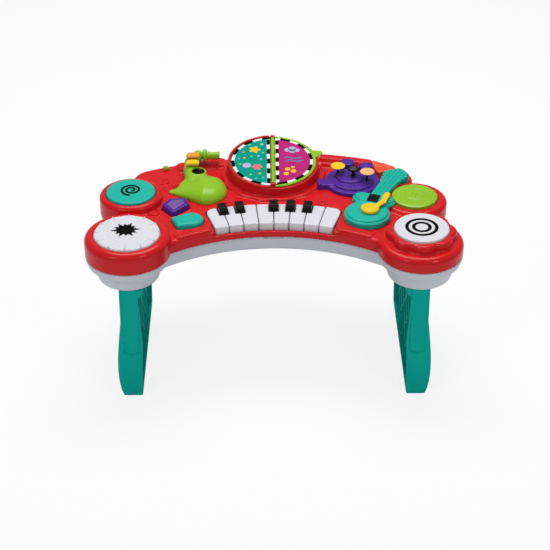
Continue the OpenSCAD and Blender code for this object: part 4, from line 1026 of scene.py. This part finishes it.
# %% Guitar
def bout_plan(x, y):
    upper = web(x, y, (131, 4, 13), (148, -18, 18), (166, -8, 16))
    return melt(disc(x, y, (137, -42), 34), upper, 6)


def guitar_form(x, y, z):
    plan, neck = bout_plan(x, y), outline(x, y, NECK)
    along, across = spun(x, y, (155.5, 3), radians(63))
    scallops = 1.5 * np.cos((along - 58) * 0.75) * (along > 52)
    strings = np.cos(across * 2 * pi / 5.6) * np.clip((-neck - 2.0) / 1.5, 0, 1)
    form = pile(slab(plan, z, DECK - 2, DECK + 9, 3.2), z, (plan + 3.6, DECK + 12, 2.6, 1.4),
                (neck - 0.6 + scallops, DECK + 12.4 + 0.9 * strings, 2.0, 1.2))
    form = carve(form, disc(x, y, DIAL, 4.1), 0.4)
    form = carve(form, both(disc(x, y, CYMBAL, 49.0), z - CYMBAL_RIM - 0.4), 0.4)
    form = carve(form, disc(x, y, CYMBAL, 36.2), 0.8)
    return both(form, ROOT - z)


def block_form(x, y, z):
    u, v = spun(x, y, (148.7, -6), radians(-18))
    form = slab(corner(abs(u) - 8, abs(v + 1.0) - 10, 1.2), z, DECK + 11.5, DECK + 14.0, 0.8)
    for k in range(-1, 2):
        form = carve(form, np.hypot(u - 4.0 * k, z - DECK - 14.2) - 1.0, 0.4)
    return form


def strummer_form(x, y, z):
    r = disc(x, y, DIAL, 0)
    form = slab(r - 13.5, z, DECK + 12.3, DECK + 17.4, 1.5)
    form = melt(form, np.hypot(r - 9.6, z - DECK - 17.2) - 0.9, 0.6)
    form = melt(form, slab(r - 5, z, DECK + 13, DECK + 18.2, 1.6), 1.2)
    wrist, elbow, tip = (150, -37, 4.3), (161, -25, 4.3), (169, -3, 4.8)
    arm = melt(limb((x, y), wrist, elbow), limb((x, y), elbow, tip), 3)
    form = melt(form, corner(arm, abs(z - DECK - 16.3) - 1.6, 1.5), 1.4)
    return either(form, both(r - 4, abs(z - 242) - 11))


cast("guitar_casting", guitar_form, (100, -79, 235), (212, 88, 254), 0.95, "housing", "pad_teal",
     "guitar_body")
cast("string_block", block_form, (134, -22, 248), (162, 10, 254.5), 0.6, "housing", "black_plastic",
     "guitar_string_block")
cast("strum_dial", strummer_form, (125, -57, 230), (177, 5, 258), 0.95, "strummer", "yellow_plastic",
     "guitar_strummer")

# %% [markdown]
# ## The light window
# Behind the guitar's head the deck has an orange window; the real toy has a light under it, but here no lamp
# is there and the window's finish carries a painted glow. Its face is dimpled, which spreads the light. The
# dimples are rows of shallow dents.

# %% Light window
def window_form(x, y, z):
    dents = 0.3 * np.cos(x * 1.05) * np.cos(y * 1.05)
    top = DECK + 8.6 + dents + np.clip((y - 92) * 0.16, 0, 2.5)
    return slab(outline(x, y, LENS) - 2.7, z, DECK - 2.4, top, 2.0)


cast("light_window", window_form, (149, 73, 233), (193, 114, 252), 0.9, "housing", "lens_orange",
     "light_lens")

# %% [markdown]
# ## The book
# Two half-round pages lie on the turret, which slopes towards the child. The left one is fixed and the
# right one turns on a steel pin. Each has a printed face with a black and white dashed border. The prints
# are thin layers on the page, so that they keep a crisp edge from any side. The motifs are plain shapes.

# %% Pages
BOOK = lift(0, BOOK_Y, BOOK_Z) @ Matrix.Rotation(TILT, 4, "X")


def in_book(form):
    return lambda x, y, z: form(*book_place(x, y, z))


def left_page(x, y, z):
    return slab(keep(np.hypot(x, y) - 64.5, x + 3.6, 1.0), z, -3.0, -0.25, 0.6)


def flip_page(x, y, z):
    r = np.hypot(x, y)
    tab = limb(spun(x, y, (0, 0), radians(17)), (60, 0, 13), (74, 0, 6))
    plan = melt(keep(r - 66, -x, 1.0), tab, 3)
    plan = carve(plan, both(x - 6.5, 59.4 - abs(y)), 0.8)
    frame_edge = slab(abs(keep(r - 64.4, -x, 1.0)) - 1.2, z, -2.0, 0.2, 0.8)
    barrel = both(np.hypot(x, z - 1.0) - 2.8, abs(y) - 59.4)
    return melt(melt(slab(plan, z, -2.7, -0.45, 0.7), frame_edge, 0.8), barrel, 0.8)


def half_round(r, edge, side):
    """A half disc's outline, flat at x = side * edge."""
    start = asin(edge / r)
    return [(side * r * sin(t), side * r * -cos(t)) for t in np.linspace(start, pi - start, 40)]


cast("left_page_plate", in_book(left_page), (-69, 15, 251), (0, 153, 273), 1.3, "housing", "pad_teal",
     "book_left_page", look=PRINTS["teal"])
cast("flip_page_plate", in_book(flip_page), (-5, 14, 251), (84, 154, 274), 1.2, "page", "lime_plastic",
     "flip_page")
ink(plaque("left_border", [half_round(63.3, 4.3, -1)], -0.3, 0.0, BOOK), "housing", "white")
ink(plaque("left_print", [half_round(58.6, 9.4, -1)], -0.2, 0.12, BOOK), "housing", "teal")
ink(plaque("right_border", [half_round(61.2, 4.2, 1)], -0.45, -0.15, BOOK), "page", "white",
    "flip_page_print")
settle(plaque("right_print", [half_round(56.8, 9.0, 1)], -0.35, -0.02, BOOK), "page", "book_print")

# %% [markdown]
# ## The book's borders and motifs
# The dashes of a border are small bricks that one tree sets along an arc or, where it is told to, along a
# straight line. The motifs are rings of points: round blobs, petalled ones and bands of waves.

# %% Dashed borders
dashes = plant("dash_row", {"Count": 6, "Radius": 0.0586, "Start": 0.0, "Step": 0.5, "Length": 0.016,
                            "Width": 0.0048, "Thickness": 0.0004, "Straight": 0.0})
marks = dashes["Count"].node("GeometryNodePoints", Count=dashes["Count"])
radius, straight = dashes["Radius"], dashes["Straight"]
turn = dashes["Start"] + marks.node("GeometryNodeInputIndex") * dashes["Step"]
curved = 1 - straight
place = marks.xyz(radius * turn.maths("COSINE", turn) * curved + radius * straight,
                  radius * turn.maths("SINE", turn) * curved + turn * straight, 0.0)
size = marks.xyz(dashes["Width"], dashes["Length"], dashes["Thickness"])
brick = marks.node("GeometryNodeMeshCube", Size=size, Vertices_Y=5)
moved = marks.node("GeometryNodeSetPosition", marks, Position=place)
tree = scatter(moved, brick, PRINTS["black"], Rotation=marks.xyz(0.0, 0.0, turn * curved))
ROWS = {
    "left_arc": dict(Count=6, Radius=0.0611, Start=radians(98), Step=radians(29.5)),
    "left_spine": dict(Count=5, Radius=-0.0068, Start=-0.0522, Step=0.0256, Length=0.0128, Straight=1.0),
    "right_arc": dict(Count=6, Radius=0.0590, Start=radians(-77), Step=radians(29.5)),
    "right_spine": dict(Count=5, Radius=0.0066, Start=-0.0430, Step=0.0230, Length=0.0115, Straight=1.0)}
for name, sizes in ROWS.items():
    body, height = ("housing", 0.14) if name.startswith("left") else ("page", 0.0)
    ink(grow(f"dashes_{name}", tree, sizes, move=BOOK @ lift(0, 0, height)), body, "black")

# %% Printed motifs
def blob(cx, cy, r, n=20, wave=0.0, lobes=5):
    """A round shape, or a petalled one where wave is set."""
    return [(cx + r * (1 + wave * cos(lobes * t)) * cos(t), cy + r * (1 + wave * cos(lobes * t)) * sin(t))
            for t in np.linspace(0, 2 * pi, n, endpoint=False)]


def wave_band(x0, x1, y0):
    line = [(x, y0 + 1.6 * sin((x - x0) * 0.28)) for x in np.linspace(x0, x1, 18)]
    return line + [(x, y + 3.2) for x, y in reversed(line)]


def blobs(*rows):
    return [blob(*row) for row in rows]


MOTIFS = {
    "left": {"yellow": blobs((-28, 30, 7.5, 40, 0.28), (-20, -33, 2.0), (-44, 8, 1.8)),
             "lilac": blobs((-40, -12, 6.5, 30), (-17, 44, 2.6), (-18, 4, 1.9)),
             "pink": blobs((-24, -16, 6.8, 40, 0.20, 6), (-45, 24, 2.0)),
             "green": blobs((-33, 12, 1.8), (-15, 22, 1.8), (-34, -36, 2.0), (-50, -8, 1.8)),
             "sky": blobs((-22, 13, 2.0), (-36, 43, 1.9), (-15, -44, 1.8), (-52, 6, 1.5), (-26, -46, 1.6))},
    "right": {"lilac": blobs((30, 31, 6.5, 24), (23, 29, 5, 24), (37, 28, 4.8, 24), (30, 26, 5.5, 24)),
              "slate": [wave_band(17, 44, 6), wave_band(20, 47, -2)],
              "yellow": blobs((22, -22, 4.2, 24), (31, -27, 4.2, 24), (20, -34, 4.2, 24),
                              (30, -17, 3.0, 24))}}
for side, body, low, top in (("left", "housing", 0.0, 0.22), ("right", "page", -0.15, 0.07)):
    for colour, shapes in MOTIFS[side].items():
        ink(plaque(f"{side}_motif_{colour}", shapes, low, top, BOOK), body, colour)

# %% [markdown]
# ## Reliefs on the deck
# The deck carries small raised notes and curling staff lines in its own red. They are too fine for the
# deck's own grid, so they are moulded separately in a finer one and sit into the surface.

# %% Notes and staves
STEMS = (((-1.2, -5, 0.7), (-1.2, 6, 0.7)), ((7.8, -4, 0.7), (7.8, 7, 0.7)),
         ((-1.2, 6, 1.1), (7.8, 7.2, 1.1)))


def note_form(at, size, turn, level=DECK):
    def form(x, y, z):
        u, v = (q / size for q in spun(x, y, at, turn))
        heads = [disc((u + dx) / 1.25, v + dy, (0, 0), 2.5) for dx, dy in ((4, 5), (-5, 4))]
        plan = either.reduce(heads + [limb((u, v), a, b) for a, b in STEMS])
        return slab(plan * size, z, level - 1.2, level + 1.25, 0.6)
    return form


def stave_form(x, y, z):
    u, v = x + 152, y - 27
    r = np.hypot(u, v)
    lines = either.reduce([abs(r - q) - 0.7 for q in (17, 21.5, 26)])
    return slab(keep(lines, abs(np.arctan2(v, u) - 2.1) * r - 17, 0.6), z, DECK - 1.2, DECK + 0.8, 0.6)


RELIEFS = [("note_left_rear", note_form((-167, 66), 0.95, 0.3), (-180, 54), (-154, 80)),
           ("note_left_front", note_form((-153, 52), 0.75, -0.2), (-164, 42), (-142, 63)),
           ("stave_left", stave_form, (-190, 22), (-140, 60)),
           ("note_centre_left", note_form((-70, -2), 0.9, 0.15), (-82, -13), (-58, 11)),
           ("note_centre_right", note_form((70, 0), 0.9, -0.25), (58, -12), (82, 13)),
           ("note_rear_left", note_form((-92, 122), 0.8, 0.1, DECK + 5), (-103, 111), (-81, 134))]
for name, form, low, high in RELIEFS:
    cast(name, form, (*low, 235.5), (*high, 245.5), 0.62, "housing", "red_shell")

# %% [markdown]
# ## Underneath
# Turned over, the base shows six screws in their wells, a battery door held by one more, and a slatted
# cover over the loudspeaker. The slats and the screws repeat, so both are grown from small trees.

# %% Screws
heads = plant("screw_heads", {"Radius": 0.0032, "Height": 0.0022, "Slot": 0.0009}, takes_points=True)
drum = heads["Radius"].node("GeometryNodeMeshCylinder", settings={"fill_type": "NGON"}, Vertices=32,
                            Radius=heads["Radius"], Depth=heads["Height"])
cross = drum.node("GeometryNodeMeshBoolean", settings={"operation": "DIFFERENCE", "solver": "EXACT"},
                  Mesh_1=drum)
for long, wide in ((heads["Radius"] * 1.3, heads["Slot"]), (heads["Slot"], heads["Radius"] * 1.3)):
    bar = drum.node("GeometryNodeMeshCube", drum.xyz(long, wide, heads["Height"]))
    bar = bar.node("GeometryNodeTransform", bar, Translation=(0, 0, -0.0012))
    cross.tree.links.new(bar.socket, cross.socket.node.inputs["Mesh 2"])
tree = scatter(heads["Geometry"], cross, LOOKS["steel"])
spots = [(x, y, 199.7) for x, y in SCREWS] + [(*DOOR_SCREW, 194.3)]
settle(grow("screw_heads", tree, points=spots), "housing", "steel")

# %% Battery door
def door_form(x, y, z):
    across = abs(y - BATTERY[1])
    form = slab(corner(abs(x) - 38, across - 28, 3), z, 195.0, 197.4, 0.6)
    for k in range(5):
        form = melt(form, np.hypot(x + 30 - 2.6 * k, z - 195.1) - 0.7 + both(across - 10, 0), 0.4)
    return carve(form, both(disc(x, y, DOOR_SCREW, 2.0), z - 210), 0.5)


cast("battery_cover", door_form, (-41, 57, 193), (41, 119, 199), 1.1, "housing", "pale_base", "battery_door")

# %% Speaker slats
slats = plant("speaker_slats", {"Count": 9, "Pitch": 0.0042, "Radius": 0.0205, "Width": 0.0018,
                                "Depth": 0.0024})
row = slats["Count"].node("GeometryNodePoints", Count=slats["Count"])
offset = (row.node("GeometryNodeInputIndex") - (slats["Count"] - 1) / 2) * slats["Pitch"]
half = row.maths("SQRT", slats["Radius"] * slats["Radius"] - offset * offset)
moved = row.node("GeometryNodeSetPosition", row, Position=row.xyz(0.0, offset, 0.0))
size = row.xyz(1.0, slats["Width"], slats["Depth"])
bar = row.node("GeometryNodeMeshCube", Size=size, Vertices_X=2)
stretch = row.xyz(half * 2.0, 1.0, 1.0)
tree = scatter(moved, bar, LOOKS["pale_base"], Scale=stretch)
settle(grow("speaker_slats", tree, move=lift(*SPEAKER, 196.3)), "housing", "pale_base")

# %% [markdown]
# ## The studio
# A pale floor and soft lamps: two panels in front, left and right, a broad one above, and a gentle fill
# from the surroundings. The background is white because its own colour is, and not because of more light
# on the toy.

# %% Floor
paper = bpy.data.materials.new("studio_paper")
wire = fresh(paper)
rays = wire.node("ShaderNodeLightPath", out="Is Camera Ray")
matt = wire.node("ShaderNodeBsdfDiffuse", Color=(0.9, 0.9, 0.9, 1))
lit = wire.node("ShaderNodeEmission", Color=(1, 1, 1, 1), Strength=1.0)
wire.node("ShaderNodeOutputMaterial", wire.node("ShaderNodeMixShader", rays * 0.84, matt, lit))
REACH = 6000
floor = mesh_piece("studio_floor", [(-REACH, -REACH, 0), (REACH, -REACH, 0), (REACH, REACH, 0),
                                    (-REACH, REACH, 0)], [(0, 1, 2, 3)], None)
floor.data.materials.append(paper)
print("floor", [round(v, 1) for v in floor.dimensions[:2]], "m")

# %% World and lamps
scene.world = bpy.data.worlds.new("studio_air")
wire = fresh(scene.world)
rays = wire.node("ShaderNodeLightPath", out="Is Camera Ray")
glossy = rays.maths("MAXIMUM", rays.out("Is Glossy Ray") * 0.12, rays.out("Is Transmission Ray"))
seen = rays.maths("MAXIMUM", rays.maths("MAXIMUM", rays, glossy), 0.30)
wire.node("ShaderNodeOutputWorld", wire.node("ShaderNodeBackground", Color=(1, 1, 1, 1), Strength=seen))
LAMPS = (("panel_left", (-1.3, -1.5, 1.7), (0.5, 0.35), 7), ("panel_right", (1.3, -1.5, 1.7), (0.5, 0.35), 6),
         ("panel_top", (0.0, 0.7, 2.2), (1.6, 1.0), 34))
for name, at, (across, deep), power in LAMPS:
    data = bpy.data.lights.new(name, "AREA")
    data.shape, data.size, data.size_y, data.energy = "RECTANGLE", across, deep, power
    stand(name, data, at, (0, 0, 0.2))
scene.view_settings.view_transform = "Standard"
print(len(LAMPS), "lamps")
